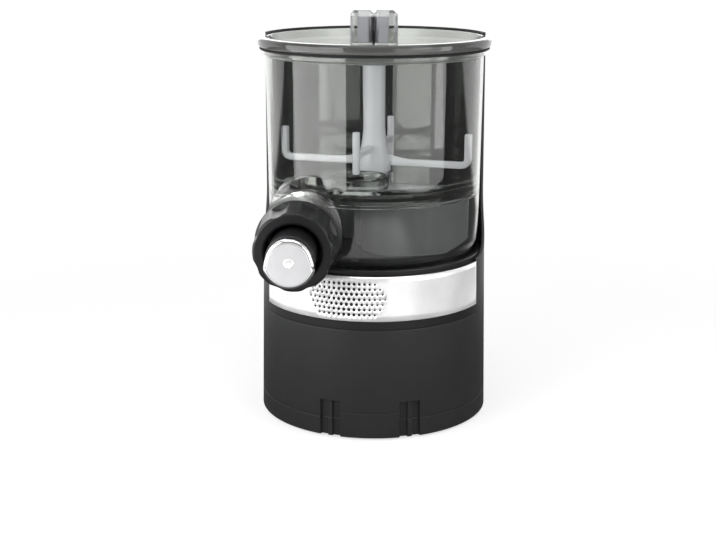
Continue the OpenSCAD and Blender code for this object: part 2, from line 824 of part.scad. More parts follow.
// turn that puts a gap of the driven pinion where the other gear's tooth points
pinion_1_turn = motor_turn + 180 + 180 / pinion_teeth;
gear_1_turn = motor_turn;
pinion_2_turn = idler_turn + 180 + 180 / pinion_teeth;
gear_2_turn = idler_turn;

module motor_pinion() {
    color(steel) at_motor(gear_1_z) difference() {
        gear(mod_1, pinion_teeth, face_1, pinion_1_turn);
        translate([0, 0, -1]) cylinder(h = face_1 + 2, r = motor_shaft_r);
    }
}

module idler_axle() {
    color(steel) translate([idler_pos[0], idler_pos[1], can_top + 1])
        cylinder(h = cover_z + cover_t - 1 - can_top - 1, r = axle_r);
}

module compound_gear() {
    color(acetal) translate([idler_pos[0], idler_pos[1], 0]) difference() {
        union() {
            translate([0, 0, gear_1_z]) gear(mod_1, gear_1_teeth, face_1, gear_1_turn);
            translate([0, 0, gear_1_z + face_1 - eps]) gear(mod_2, pinion_teeth, face_2 + box_gap + eps, pinion_2_turn);
            translate([0, 0, box_floor + slip]) cylinder(h = box_gap, r = axle_r + 4);
        }
        cylinder(h = far, r = axle_r + run_gap);
        for (a = [0:60:300]) rotate([0, 0, a + 30]) translate([gear_1_r * 0.62, 0, gear_1_z - 1]) cylinder(h = face_1 + 2, r = 6);
    }
}

module output_gear() {
    hub_r = out_shaft_r + 8;
    color(steel) difference() {
        union() {
            translate([0, 0, gear_2_z]) gear(mod_2, gear_2_teeth, face_2, gear_2_turn);
            translate([0, 0, box_floor + bush_h - floor_t + slip])
                cylinder(h = gear_2_z + eps - box_floor - bush_h + floor_t - slip, r = hub_r - 3);
        }
        translate([0, 0, -1]) cylinder(h = far, r = out_shaft_r);
        for (a = [0:60:300]) rotate([0, 0, a]) translate([gear_2_r * 0.63, 0, gear_2_z - 1]) cylinder(h = face_2 + 2, r = 8);
    }
}

module output_shaft() {
    color(steel) translate([0, 0, can_top + 0.5]) cylinder(h = seat_z + 30 - can_top, r = out_shaft_r);
}

hex_top = neck_top + 16;

module drive_hub() {
    color(black) difference() {
        union() {
            translate([0, 0, cover_z + bush_h + 3 + slip]) cylinder(h = seat_z - 1 - cover_z - bush_h - 3 - slip, r = hub_round_r);
            translate([0, 0, seat_z - 2]) cylinder(h = hex_top - seat_z + 2, r = hex_r, $fn = 6);
        }
        cylinder(h = seat_z + 30.5, r = out_shaft_r);
    }
}

// --- bowl ---

// Outside of the bowl below its rim
module bowl_outside(grow = 0) {
    rotate_extrude() intersection() {
        union() {
            translate([0, seat_z]) square([bowl_r(seat_z) - bowl_corner, bowl_h]);
            polygon([[0, seat_z + bowl_corner], [bowl_r(seat_z + bowl_corner) + grow, seat_z + bowl_corner],
                [bowl_r(rim_z) + grow, rim_z], [0, rim_z]]);
            translate([bowl_r(seat_z + bowl_corner) - bowl_corner, seat_z + bowl_corner]) circle(r = bowl_corner);
        }
        translate([0, seat_z]) square([far, far]);
    }
}

// Space inside the bowl, above its floor
module bowl_inside() {
    corner = bowl_corner - bowl_wall;
    r0 = bowl_r(seat_z + bowl_corner) - bowl_wall;
    rotate_extrude() {
        translate([0, bowl_floor]) square([r0 - corner, bowl_h]);
        polygon([[0, bowl_floor + corner], [r0, bowl_floor + corner], [bowl_r(rim_z) - bowl_wall, rim_z + 1], [0, rim_z + 1]]);
        intersection() {
            translate([r0 - corner, bowl_floor + corner]) circle(r = corner);
            square([far, far]);
        }
    }
}

module mixing_bowl() {
    bead_h = 4.8;
    bead_r = lid_r - 3.4;
    color(smoke) difference() {
        union() {
            difference() {
                union() {
                    bowl_outside();
                    difference() {
                        union() {
                            spout_horn(0);
                            on_nozzle(wall_front) cylinder(h = spout_front - wall_front, r = spout_r);
                            on_nozzle(nut_back + lug_t + slip) spout_lugs();
                        }
                        cylinder(h = ring_top + slip, r = body_r(base_h) + slip);
                    }
                }
                bowl_inside();
                // throat of the horn, below the ledge
                intersection() {
                    spout_horn(3);
                    translate([-far, -far, bowl_floor]) cube([2 * far, far, ledge_z - bowl_floor - 3]);
                }
                on_nozzle(0) cylinder(h = far, r = spout_bore);
            }
            // inner ledge under the kneading deck
            difference() {
                intersection() {
                    bowl_outside();
                    translate([0, 0, ledge_z]) cylinder(h = deck_under - ledge_z, r = far);
                }
                cylinder(h = far, r = bowl_r(ledge_z) - bowl_wall - 3.2);
            }
            // neck round the drive hub
            translate([0, 0, seat_z]) cylinder(h = neck_top - seat_z, r = neck_r + neck_wall);
            // rim bead, in front of the shell only
            difference() {
                translate([0, 0, rim_z - bead_h]) cylinder(h = bead_h, r = bead_r);
                bowl_inside();
                translate([-far, shell_edge - 2, 0]) cube([2 * far, far, far * 2]);
            }
        }
        translate([0, 0, seat_z - 1]) cylinder(h = far, r = neck_r);
    }
}

// Horn between the bowl wall and the spout, narrowed by an inset for its hollow
module spout_horn(inset) {
    mouth = [horn_x, horn_z - nozzle_z];
    hull() {
        on_nozzle(nut_back - 3 - inset) cylinder(h = 1, r = inset > 0 ? spout_bore : spout_r + 0.6);
        on_nozzle(wall_front + 14 - inset) translate(mouth) cylinder(h = 1, r = flare_r - inset);
    }
    on_nozzle(horn_root) translate(mouth) cylinder(h = wall_front + 15 - inset - horn_root, r = flare_r - inset);
}

// Three bayonet lugs on the spout
module spout_lugs() {
    for (a = [0, 120, 240]) rotate([0, 0, a]) intersection() {
        cylinder(h = lug_t, r = spout_r + lug_h);
        translate([0, -9, 0]) cube([far, 18, lug_t]);
    }
}

module kneading_deck() {
    out_r = bowl_r(deck_under) - bowl_wall - slip;
    collar_h = 6;
    color(smoke) difference() {
        union() {
            translate([0, 0, deck_z - 3]) cylinder(h = 3, r = out_r);
            translate([0, 0, deck_under]) tube(deck_band + 2, out_r, out_r - 2.5);
            translate([feed_x, -feed_front, deck_z - 3]) cylinder(h = 3 + collar_h, r = feed_r + 2.4);
        }
        translate([feed_x, -feed_front, deck_z - 5]) cylinder(h = 20, r = feed_r);
        translate([0, 0, deck_z - 5]) cylinder(h = 20, r = boss_top_r + 0.7);
        // groove for the gasket
        translate([0, 0, deck_under + 4]) tube(3, out_r + 1, out_r - 1.2);
    }
}

module deck_gasket() {
    out_r = bowl_r(deck_under) - bowl_wall - slip;
    color(rubber) translate([0, 0, deck_under + 4.1]) tube(2.8, out_r + 0.2, out_r - 1.2);
}

boss_top_r = 13.8;
rotor_hub_r = neck_r + neck_wall + 3.8;
boss_top = deck_z + 2.6;
blade_r = bowl_r(seat_z + bowl_corner) - bowl_wall - 5.4;

// Blade that curls from the hub out to the bowl wall
function curl_point(r, side) = let (a = 105 * (r - rotor_hub_r) / (blade_r - rotor_hub_r))
    [r * cos(a) - side * sin(a) * blade_t / 2, r * sin(a) + side * cos(a) * blade_t / 2];

module press_rotor() {
    steps = 12;
    blade_n = 3;
    blade_z0 = bowl_floor + 1.2;
    blade_z1 = ledge_z - 1.5;
    color(frosted) difference() {
        union() {
            translate([0, 0, blade_z0]) cylinder(h = blade_z1 + 1 - blade_z0, r = rotor_hub_r);
            translate([0, 0, blade_z1]) cylinder(h = boss_top - blade_z1, r = boss_top_r);
            translate([0, 0, boss_top - 1]) cylinder(h = 13, r = 9, $fn = 6);
            intersection() {
                for (i = [0:blade_n - 1]) rotate([0, 0, 360 * i / blade_n]) translate([0, 0, blade_z0])
                    linear_extrude(height = blade_z1 - blade_z0)
                        polygon([for (side = [-1, 1], k = [0:steps])
                            curl_point(rotor_hub_r - 2 + (blade_r + 2 - rotor_hub_r) * (side < 0 ? k : steps - k) / steps, side)]);
                union() {
                    translate([0, 0, blade_z0]) cylinder(h = bowl_corner, r1 = blade_r - bowl_corner, r2 = blade_r);
                    translate([0, 0, blade_z0 + bowl_corner]) cylinder(h = far, r = blade_r);
                }
            }
        }
        cylinder(h = neck_top + 0.6, r = neck_r + neck_wall + 0.5);
        cylinder(h = hex_top + 0.5, r = hex_r + 0.4, $fn = 6);
    }
}

module paddle() {
    foot_z = boss_top + 0.05;
    foot_h = 24;
    arm_r = bowl_r(deck_z) - bowl_wall - 4;
    arm_z = deck_z + 8.5;
    flange_z = lid_plate_z - 2 - bush_drop - slip - 3.5;
    color(frosted) difference() {
        union() {
            translate([0, 0, foot_z]) cylinder(h = foot_h * 0.5, r = boss_top_r + 3);
            translate([0, 0, foot_z + foot_h * 0.5]) cylinder(h = foot_h, r1 = boss_top_r + 3, r2 = stem_r);
            translate([0, 0, foot_z]) cylinder(h = flange_z - foot_z, r = stem_r);
            translate([0, 0, flange_z]) cylinder(h = 3.5, r = stem_r + 5);
            translate([0, 0, flange_z]) cylinder(h = 3.5 + slip + bush_drop - bush_web - knob_head_h - 0.6, r = stem_pin_r);
            for (a = [165, 345]) rotate([0, 0, a]) {
                translate([0, -arm_t / 2, arm_z]) cube([arm_r - arm_t / 2, arm_t, arm_t]);
                translate([arm_r - arm_t / 2, 0, arm_z]) cylinder(h = 34, r = arm_t / 2);
            }
            for (a = [75, 255]) rotate([0, 0, a]) {
                translate([0, -arm_t / 2, arm_z + 14]) cube([arm_r * 0.6, arm_t, arm_t]);
                translate([arm_r * 0.6, 0, arm_z]) cylinder(h = 40, r = arm_t / 2);
            }
        }
        translate([0, 0, foot_z - 1]) cylinder(h = 14, r = 9.4, $fn = 6);
    }
}

// --- nozzle ---

module spout_gasket() {
    color(rubber) on_nozzle(spout_front + face_gap) tube(gasket_t - face_gap, spout_r - 1, spout_bore + 1);
}

module die_sleeve() {
    color(black) on_nozzle(spout_front + gasket_t) difference() {
        union() {
            cylinder(h = flange_t, r = spout_r);
            cylinder(h = die_back + die_t - spout_front - gasket_t, r = sleeve_r);
        }
        translate([0, 0, -1]) cylinder(h = far, r = sleeve_r - sleeve_wall);
        translate([0, 0, die_back - spout_front - gasket_t]) cylinder(h = far, r = sleeve_r - 1.3);
    }
}

module die_plate() {
    hole_r = 1.6;
    color(bronze) on_nozzle(die_back) difference() {
        cylinder(h = die_t - 0.1, r = sleeve_r - 1.3);
        for (x = [-2:2], y = [-2:2]) if (x * x + y * y < 7 && x * x + y * y > 0)
            translate([x * 6.4, y * 6.4, -1]) cylinder(h = die_t + 2, r = hole_r, $fn = 24);
    }
}

// Outline of the hood: a wide arc below and a narrower arch above, with straight flanks between
module hood_outline(grow = 0) {
    corner_h = 6;
    corner_x = sleeve_r + 0.15 + grow;
    intersection() {
        circle(r = sleeve_r + 1 + grow);
        union() {
            translate([-far, -far]) square([2 * far, far - corner_h]);
            hull() {
                translate([0, grow]) circle(r = sleeve_r - 1.75 + grow);
                translate([-corner_x, -corner_h - 1]) square([2 * corner_x, 1]);
            }
        }
    }
}

module nozzle_hood() {
    color(steel) on_nozzle(hood_back) difference() {
        linear_extrude(height = hood_depth - 1) hood_outline(0.6);
        translate([0, 0, -1]) linear_extrude(height = hood_depth + 1) hood_outline(0.6 - hood_wall);
        cylinder(h = die_t - 2 + 0.05, r = sleeve_r + 0.05);
        // outlet at the bottom, in front of the die
        translate([-14, -far, die_t]) cube([28, far - 12, hood_depth]);
    }
}

module hood_face() {
    color(steel) on_nozzle(hood_front - 1) difference() {
        linear_extrude(height = 1) hood_outline(0.6);
        translate([0, 0, -1]) cylinder(h = 3, r = 2.5);
    }
}

module hood_rivet() {
    color(steel) on_nozzle(die_back + die_t - 0.1) union() {
        cylinder(h = hood_front - die_back - die_t + 0.1, r = 2.5);
        translate([0, 0, hood_front - die_back - die_t + 0.1 - 1 - 0.8]) cylinder(h = 0.8, r = 5);
        translate([0, 0, hood_front - die_back - die_t + 0.1]) cylinder(h = 0.9, r1 = 4.5, r2 = 3);
    }
}

module nozzle_nut() {
    lobes = 8;
    scoop_r = 15;
    lip_back = spout_front + gasket_t + flange_t + slip - nut_back;
    cavity_r = spout_r + lug_h + slip;
    color(charcoal) on_nozzle(nut_back) difference() {
        union() {
            cylinder(h = 5, r = nut_back_r);
            translate([0, 0, 5]) cylinder(h = nut_len - 8, r1 = nut_back_r, r2 = nut_front_r);
            translate([0, 0, nut_len - 3]) cylinder(h = 3, r1 = nut_front_r, r2 = nut_front_r - 1.2);
        }
        for (i = [0:lobes - 1]) rotate([0, 0, 360 * (i + 0.5) / lobes])
            translate([nut_front_r - 1.6 + scoop_r, 0, 6]) cylinder(h = far, r = scoop_r);
        translate([0, 0, -1]) cylinder(h = far, r = nut_hole_r);
        // cavity over the sleeve flange and the spout's lugs
        translate([0, 0, lug_t]) cylinder(h = lip_back - lug_t, r = cavity_r);
        // entry slots between the nut's own three lugs
        translate([0, 0, -1]) cylinder(h = lug_t + 2, r = spout_r + slip);
        for (a = [0, 120, 240]) rotate([0, 0, a + 60]) intersection() {
            translate([0, 0, -1]) cylinder(h = lug_t + 2, r = cavity_r - 0.2);
            translate([0, -11, -1]) cube([far, 22, lug_t + 2]);
        }
    }
}

// --- lid ---

bush_drop = 10.5;
bush_web = 1.2;
knob_head_h = 1.8;

module lid() {
    plug_r = bowl_r(rim_z) - bowl_wall - 0.5;
    rear_r = bowl_r(rim_z) - 0.2;
    color(smoke) difference() {
        rotate_extrude() polygon([[0, lid_plate_z - 2], [plug_r - 2, lid_plate_z - 2], [plug_r - 2, rim_z - 6],
            [plug_r, rim_z - 6], [plug_r, lid_z0], [lid_r - 2, lid_z0], [lid_r - 0.8, lid_z0 + 1.6],
            [lid_r, lid_z0 + 5.2], [lid_r, lid_top - 2.4], [lid_r - 2, lid_top], [lid_recess_r + 2.5, lid_top],
            [lid_recess_r, lid_plate_z], [0, lid_plate_z]]);
        // set back where the shell stands behind it
        difference() {
            translate([-far, shell_edge - 2, lid_z0 - 1]) cube([2 * far, far, lid_h + 2]);
            translate([0, 0, lid_z0 - 2]) cylinder(h = lid_h + 4, r = rear_r);
        }
        translate([0, 0, lid_plate_z - 5]) cylinder(h = 10, r = screw_r + 0.2);
    }
}

module lid_bush() {
    z0 = lid_plate_z - 2 - bush_drop;
    color(black) difference() {
        translate([0, 0, z0]) cylinder(h = bush_drop, r = 20.5);
        translate([0, 0, z0 - 1]) cylinder(h = bush_drop + 1 - bush_web, r = stem_pin_r + run_gap);
        translate([0, 0, z0 - 1]) cylinder(h = far, r = screw_r);
    }
}

module knob_half_outline() {
    corner = 7;
    difference() {
        translate([0, -knob_d / 2]) square([knob_w / 2, knob_d]);
        for (s = [-1, 1]) difference() {
            translate([knob_w / 2 - corner, s * (knob_d / 2 - corner / 2) - corner / 2]) square([corner + 1, corner]);
            translate([knob_w / 2 - corner, s * (knob_d / 2 - corner)]) circle(r = corner);
        }
        // half of the V grooves in the front and back faces
        for (s = [-1, 1]) translate([0, s * knob_d / 2]) rotate([0, 0, 45])
            square(knob_groove / sqrt(2) * 1.02, center = true);
    }
}

module lid_knob() {
    color(smoke) difference() {
        translate([0, 0, lid_plate_z]) linear_extrude(height = knob_h) union() {
            knob_half_outline();
            mirror([1, 0]) knob_half_outline();
        }
        // V groove over the top
        translate([0, 0, knob_top]) rotate([0, 45, 0])
            cube([knob_groove / sqrt(2), far, knob_groove / sqrt(2)], center = true);
        // sloped shoulders
        for (s = [-1, 1]) translate([s * knob_w / 2, 0, knob_top]) rotate([0, 45, 0]) cube([5, far, 5], center = true);
        translate([0, 0, lid_plate_z - 1]) cylinder(h = 12, r = screw_r);
    }
}

module knob_screw() {
    color(zinc) translate([0, 0, lid_plate_z - 2 - bush_web]) union() {
        cylinder(h = bush_web + 2 + 9, r = screw_r, $fn = 32);
        translate([0, 0, -knob_head_h]) cylinder(h = knob_head_h, r = 3.6, $fn = 32);
    }
}

base_tray();
rubber_feet();
tray_screws();
rear_shell();
front_apron();
top_deck();
steel_band();
intake_filter();
bowl_seat_ring();
deck_screws();
cord_gland();
control_fascia();
fascia_screws();
button_power();
button_auto();
button_mix();
button_extrude();
control_board();
power_board();
gearbox_housing();
gearbox_cover();
gearbox_screws();
output_bush_lower();
output_bush_upper();
shaft_seal();
interlock_switch();
interlock_plunger();
motor_can();
motor_magnets();
motor_end_bell();
motor_screws();
motor_shaft();
rotor_core();
rotor_winding();
cooling_fan();
motor_pinion();
idler_axle();
compound_gear();
output_gear();
output_shaft();
drive_hub();
mixing_bowl();
kneading_deck();
deck_gasket();
press_rotor();
paddle();
spout_gasket();
die_sleeve();
die_plate();
nozzle_hood();
hood_face();
hood_rivet();
nozzle_nut();
lid();
lid_bush();
lid_knob();
knob_screw();
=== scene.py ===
# %% [markdown]
# # Electric pasta maker
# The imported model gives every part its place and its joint. This file gives the
# parts their looks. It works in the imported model's own frame: metres, +Z up, the
# bowl's axis on the origin and the nozzle towards -Y. Sizes are written in
# millimetres, because that is how such a machine is drawn, and turned into metres
# where a mesh is made.

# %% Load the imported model
import json
import math

import bmesh
import bpy
import numpy as np
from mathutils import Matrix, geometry


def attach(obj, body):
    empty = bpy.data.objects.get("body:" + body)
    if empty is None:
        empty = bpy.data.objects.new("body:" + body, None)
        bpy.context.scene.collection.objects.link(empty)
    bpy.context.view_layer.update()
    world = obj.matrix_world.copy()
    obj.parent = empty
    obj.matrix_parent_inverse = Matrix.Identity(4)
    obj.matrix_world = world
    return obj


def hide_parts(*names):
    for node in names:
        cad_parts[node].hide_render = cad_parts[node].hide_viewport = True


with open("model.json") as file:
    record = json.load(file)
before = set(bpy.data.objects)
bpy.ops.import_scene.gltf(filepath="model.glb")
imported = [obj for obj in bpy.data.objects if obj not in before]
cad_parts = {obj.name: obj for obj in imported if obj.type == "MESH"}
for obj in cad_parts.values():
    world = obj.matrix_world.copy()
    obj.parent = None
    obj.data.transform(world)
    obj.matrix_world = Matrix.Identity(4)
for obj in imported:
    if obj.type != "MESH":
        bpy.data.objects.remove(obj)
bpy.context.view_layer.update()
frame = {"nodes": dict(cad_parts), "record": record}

NODES = frame["nodes"]
SLOT_OF = {part["node"]: part["material_slot"] for part in frame["record"]["subparts"]}
MM = 0.001

# %% [markdown]
# ## Camera
# The photograph was taken a little above the lid, looking down. Its view was
# found from the ellipses of the lid, the band and the base, and the lens is set
# so that 716 pixels cover 36 mm of sensor.

# %% Camera
SENSOR, PICTURE_WIDTH, FOCAL_PIXELS = 36, 716, 1290.5
CAMERA_PLACE, LOOK_DOWN, LOOK_LEFT = (0.03817, -1.24735, 0.4632), 14.68, 2.48
view = bpy.data.cameras.new("photo view")
view.sensor_width = SENSOR
view.lens = FOCAL_PIXELS * SENSOR / PICTURE_WIDTH
camera = bpy.data.objects.new("photo view", view)
camera.location = CAMERA_PLACE
camera.rotation_euler = (math.radians(90 - LOOK_DOWN), 0, math.radians(LOOK_LEFT))
bpy.context.scene.collection.objects.link(camera)
bpy.context.scene.camera = camera
print("lens", round(view.lens, 2), "mm")

# %% [markdown]
# ## Shader groups
# Grain, clouding and edge wear come back in many finishes, so each is a node
# group with its own inputs. A group gives out a value or a normal, and the
# shader itself stays in the material.

# %% Building node groups
def new_group(name, inputs, outputs):
    """An empty node group with float inputs {name: default} and outputs {name: socket type}."""
    group = bpy.data.node_groups.new(name, "ShaderNodeTree")
    for title, value in inputs.items():
        kind = "NodeSocketFloat" if isinstance(value, (int, float)) else "NodeSocketColor"
        group.interface.new_socket(title, in_out="INPUT", socket_type=kind).default_value = value
    for title, kind in outputs.items():
        group.interface.new_socket(title, in_out="OUTPUT", socket_type=kind)
    return group, group.nodes.new("NodeGroupInput").outputs, group.nodes.new("NodeGroupOutput").inputs


def node(tree, kind, links=None, **settings):
    """Adds a node; settings set its properties, or its input sockets when they aren't properties."""
    made = tree.nodes.new(kind)
    for key, value in settings.items():
        if hasattr(made, key):
            setattr(made, key, value)
        else:
            made.inputs[key.replace("_", " ")].default_value = value
    for socket, source in (links or {}).items():
        if isinstance(source, (int, float)):
            made.inputs[socket].default_value = source
        else:
            tree.links.new(source, made.inputs[socket])
    return made


def maths(tree, operation, *values):
    """One Math node; the values are sockets or numbers."""
    made = tree.nodes.new("ShaderNodeMath")
    made.operation = operation
    for i, value in enumerate(values):
        if isinstance(value, (int, float)):
            made.inputs[i].default_value = value
        else:
            tree.links.new(value, made.inputs[i])
    return made.outputs[0]


# %% Clouding: a soft, large-scale change of value
clouding, cin, cout = new_group("clouding", {"Scale": 30.0, "Low": 0.9, "High": 1.1}, {"Value": "NodeSocketFloat"})
where = node(clouding, "ShaderNodeTexCoord").outputs["Object"]
soft = node(clouding, "ShaderNodeTexNoise", {"Vector": where, "Scale": cin["Scale"]}, Detail=3.0)
spread = node(clouding, "ShaderNodeMapRange",
              {"Value": soft.outputs["Fac"], "To Min": cin["Low"], "To Max": cin["High"]})
spread.inputs["From Min"].default_value, spread.inputs["From Max"].default_value = 0.3, 0.7
clouding.links.new(spread.outputs[0], cout["Value"])

# %% Fine grain: the spark-eroded texture of a moulding tool
grain, gin, gout = new_group("fine grain", {"Scale": 1800.0, "Height": 0.1}, {"Normal": "NodeSocketVector"})
where = node(grain, "ShaderNodeTexCoord").outputs["Object"]
pits = node(grain, "ShaderNodeTexNoise", {"Vector": where, "Scale": gin["Scale"]}, Detail=2.0, Roughness=0.6)
dents = node(grain, "ShaderNodeBump", {"Height": pits.outputs["Fac"], "Strength": gin["Height"]}, Distance=0.0002)
grain.links.new(dents.outputs[0], gout["Normal"])

# %% Brushing: fine streaks that run round the machine, so they change only with height
brushing, bin_, bout = new_group("brushing", {"Across": 2600.0, "Along": 12.0, "Height": 0.12},
                                 {"Normal": "NodeSocketVector", "Value": "NodeSocketFloat"})
where = node(brushing, "ShaderNodeTexCoord").outputs["Object"]
parts = node(brushing, "ShaderNodeSeparateXYZ", {"Vector": where}).outputs
turn = maths(brushing, "MULTIPLY", maths(brushing, "ARCTAN2", parts[0], parts[1]), bin_["Along"])
height = maths(brushing, "MULTIPLY", parts[2], bin_["Across"])
streak_place = node(brushing, "ShaderNodeCombineXYZ", {"X": turn, "Y": height})
streaks = node(brushing, "ShaderNodeTexNoise", {"Vector": streak_place.outputs[0]}, Scale=1.0, Detail=3.0)
scored = node(brushing, "ShaderNodeBump", {"Height": streaks.outputs["Fac"], "Strength": bin_["Height"]},
              Distance=0.0001)
brushing.links.new(scored.outputs[0], bout["Normal"])
brushing.links.new(streaks.outputs["Fac"], bout["Value"])

# %% Handling marks: faint smears and fine scratches that show as changes of gloss
smears, sin_, sout = new_group("smears", {"Scale": 22.0, "Base": 0.2, "Amount": 0.1}, {"Roughness": "NodeSocketFloat"})
where = node(smears, "ShaderNodeTexCoord").outputs["Object"]
stretch = node(smears, "ShaderNodeMapping", {"Vector": where}, Scale=(1.0, 1.0, 0.35))
film = node(smears, "ShaderNodeTexNoise", {"Vector": stretch.outputs[0], "Scale": sin_["Scale"]}, Detail=5.0,
            Distortion=0.6)
fine = node(smears, "ShaderNodeTexNoise", {"Vector": where}, Scale=900.0, Detail=1.0)
mixed = maths(smears, "ADD", maths(smears, "MULTIPLY", film.outputs["Fac"], 0.8),
              maths(smears, "MULTIPLY", fine.outputs["Fac"], 0.2))
level = maths(smears, "ADD", maths(smears, "MULTIPLY", maths(smears, "SUBTRACT", mixed, 0.5), sin_["Amount"]),
              sin_["Base"])
smears.links.new(level, sout["Roughness"])
print("groups:", [g.name for g in bpy.data.node_groups])

# %% [markdown]
# ## Finishes
# One function makes an opaque finish from its colour, gloss and grain, and
# another makes the clear plastics. Metals get their own brushed normals.

# %% What both kinds of finish share
def tinted(name, colour, cloud, roughness, gloss):
    """A Principled material whose colour clouds slightly and whose gloss is smeared, with its tree and its
    shader."""
    material = bpy.data.materials.new(name)
    material.use_nodes = True
    tree = material.node_tree
    shader = tree.nodes["Principled BSDF"]
    shade = node(tree, "ShaderNodeGroup", node_tree=clouding)
    shade.inputs["Scale"].default_value, shade.inputs["Low"].default_value, shade.inputs["High"].default_value = cloud
    tint = node(tree, "ShaderNodeMix", data_type="RGBA", blend_type="MULTIPLY")
    tint.inputs[0].default_value = 1.0
    tint.inputs[6].default_value = (*colour, 1)
    tree.links.new(shade.outputs["Value"], tint.inputs[7])
    tree.links.new(tint.outputs[2], shader.inputs["Base Color"])
    film = node(tree, "ShaderNodeGroup", node_tree=smears)
    film.inputs["Base"].default_value, film.inputs["Amount"].default_value = roughness, gloss
    tree.links.new(film.outputs["Roughness"], shader.inputs["Roughness"])
    return material, tree, shader


def texture(tree, shader, group, scale, height):
    """Gives the shader the normal of a relief group."""
    marks = node(tree, "ShaderNodeGroup", node_tree=bpy.data.node_groups[group])
    marks.inputs[0].default_value, marks.inputs["Height"].default_value = scale, height
    tree.links.new(marks.outputs["Normal"], shader.inputs["Normal"])


# %% Opaque finishes
def finish(name, colour, roughness, metallic=0.0, cloud=(30.0, 0.92, 1.08), gloss=0.1,
           relief=("fine grain", 1800.0, 0.1), coat=0.0, sheen=0.0, specular=0.5):
    """A Principled material whose colour clouds slightly, whose gloss is smeared, and that carries a relief."""
    material, tree, shader = tinted(name, colour, cloud, roughness, gloss)
    shader.inputs["Metallic"].default_value = metallic
    shader.inputs["Coat Weight"].default_value = coat
    shader.inputs["Sheen Weight"].default_value = sheen
    shader.inputs["Specular IOR Level"].default_value = specular
    if relief:
        texture(tree, shader, *relief)
    return material


# %% Clear finishes
def ramp(tree, value, low, high):
    """A smooth step from 0 at low to 1 at high."""
    step = node(tree, "ShaderNodeMapRange", {"Value": value, "From Min": low, "From Max": high},
                interpolation_type="SMOOTHSTEP")
    return step.outputs["Result"]


CLEAR_CLOUD, RIPPLE_SCALE = (14.0, 0.96, 1.03), 60.0


def fall(tree, value, low, high):
    """A smooth step from 1 at low to 0 at high."""
    return maths(tree, "SUBTRACT", 1.0, ramp(tree, value, low, high))


def length(tree, a, b):
    """sqrt(a^2 + b^2) of two sockets."""
    return maths(tree, "SQRT", maths(tree, "ADD", maths(tree, "MULTIPLY", a, a), maths(tree, "MULTIPLY", b, b)))


def clear(name, colour, roughness=0.03, transmission=1.0, ior=1.49, gloss=0.02, ripple=0.02, lit=0.75):
    """A moulded clear plastic: tinted as light goes through each face, with faint flow ripples. Lamps shine
    through it by the share called lit, so that what stands inside is lit."""
    material, tree, shader = tinted(name, colour, CLEAR_CLOUD, roughness, gloss)
    shader.inputs["Transmission Weight"].default_value = transmission
    shader.inputs["IOR"].default_value = ior
    texture(tree, shader, "fine grain", RIPPLE_SCALE, ripple)
    if lit:
        path = node(tree, "ShaderNodeLightPath")
        tree.links.new(maths(tree, "SUBTRACT", 1.0, maths(tree, "MULTIPLY", path.outputs["Is Shadow Ray"], lit)),
                       shader.inputs["Alpha"])
    return material


def paint_shade(material, shade_mask, factor):
    """Paints shade on a clear finish: multiplies its tint by factor where shade_mask is 1."""
    tree = material.node_tree
    shader = tree.nodes["Principled BSDF"]
    shade = node(tree, "ShaderNodeMix", data_type="RGBA", blend_type="MULTIPLY")
    tree.links.new(shade_mask, shade.inputs[0])
    tree.links.new(shader.inputs["Base Color"].links[0].from_socket, shade.inputs[6])
    shade.inputs[7].default_value = (factor, factor, factor, 1)
    tree.links.new(shade.outputs[2], shader.inputs["Base Color"])


def roughen(material, shade_mask, amount):
    """Adds amount to a clear finish's roughness where the mask is 1."""
    tree = material.node_tree
    socket = tree.nodes["Principled BSDF"].inputs["Roughness"]
    before = socket.links[0].from_socket
    tree.links.new(maths(tree, "ADD", before, maths(tree, "MULTIPLY", shade_mask, amount)), socket)


def place_of(tree):
    """The x, y and z of the point that is shaded, in metres in the shared frame."""
    spot = node(tree, "ShaderNodeTexCoord")
    split = node(tree, "ShaderNodeSeparateXYZ", {"Vector": spot.outputs["Object"]})
    return [split.outputs[axis] for axis in "XYZ"]


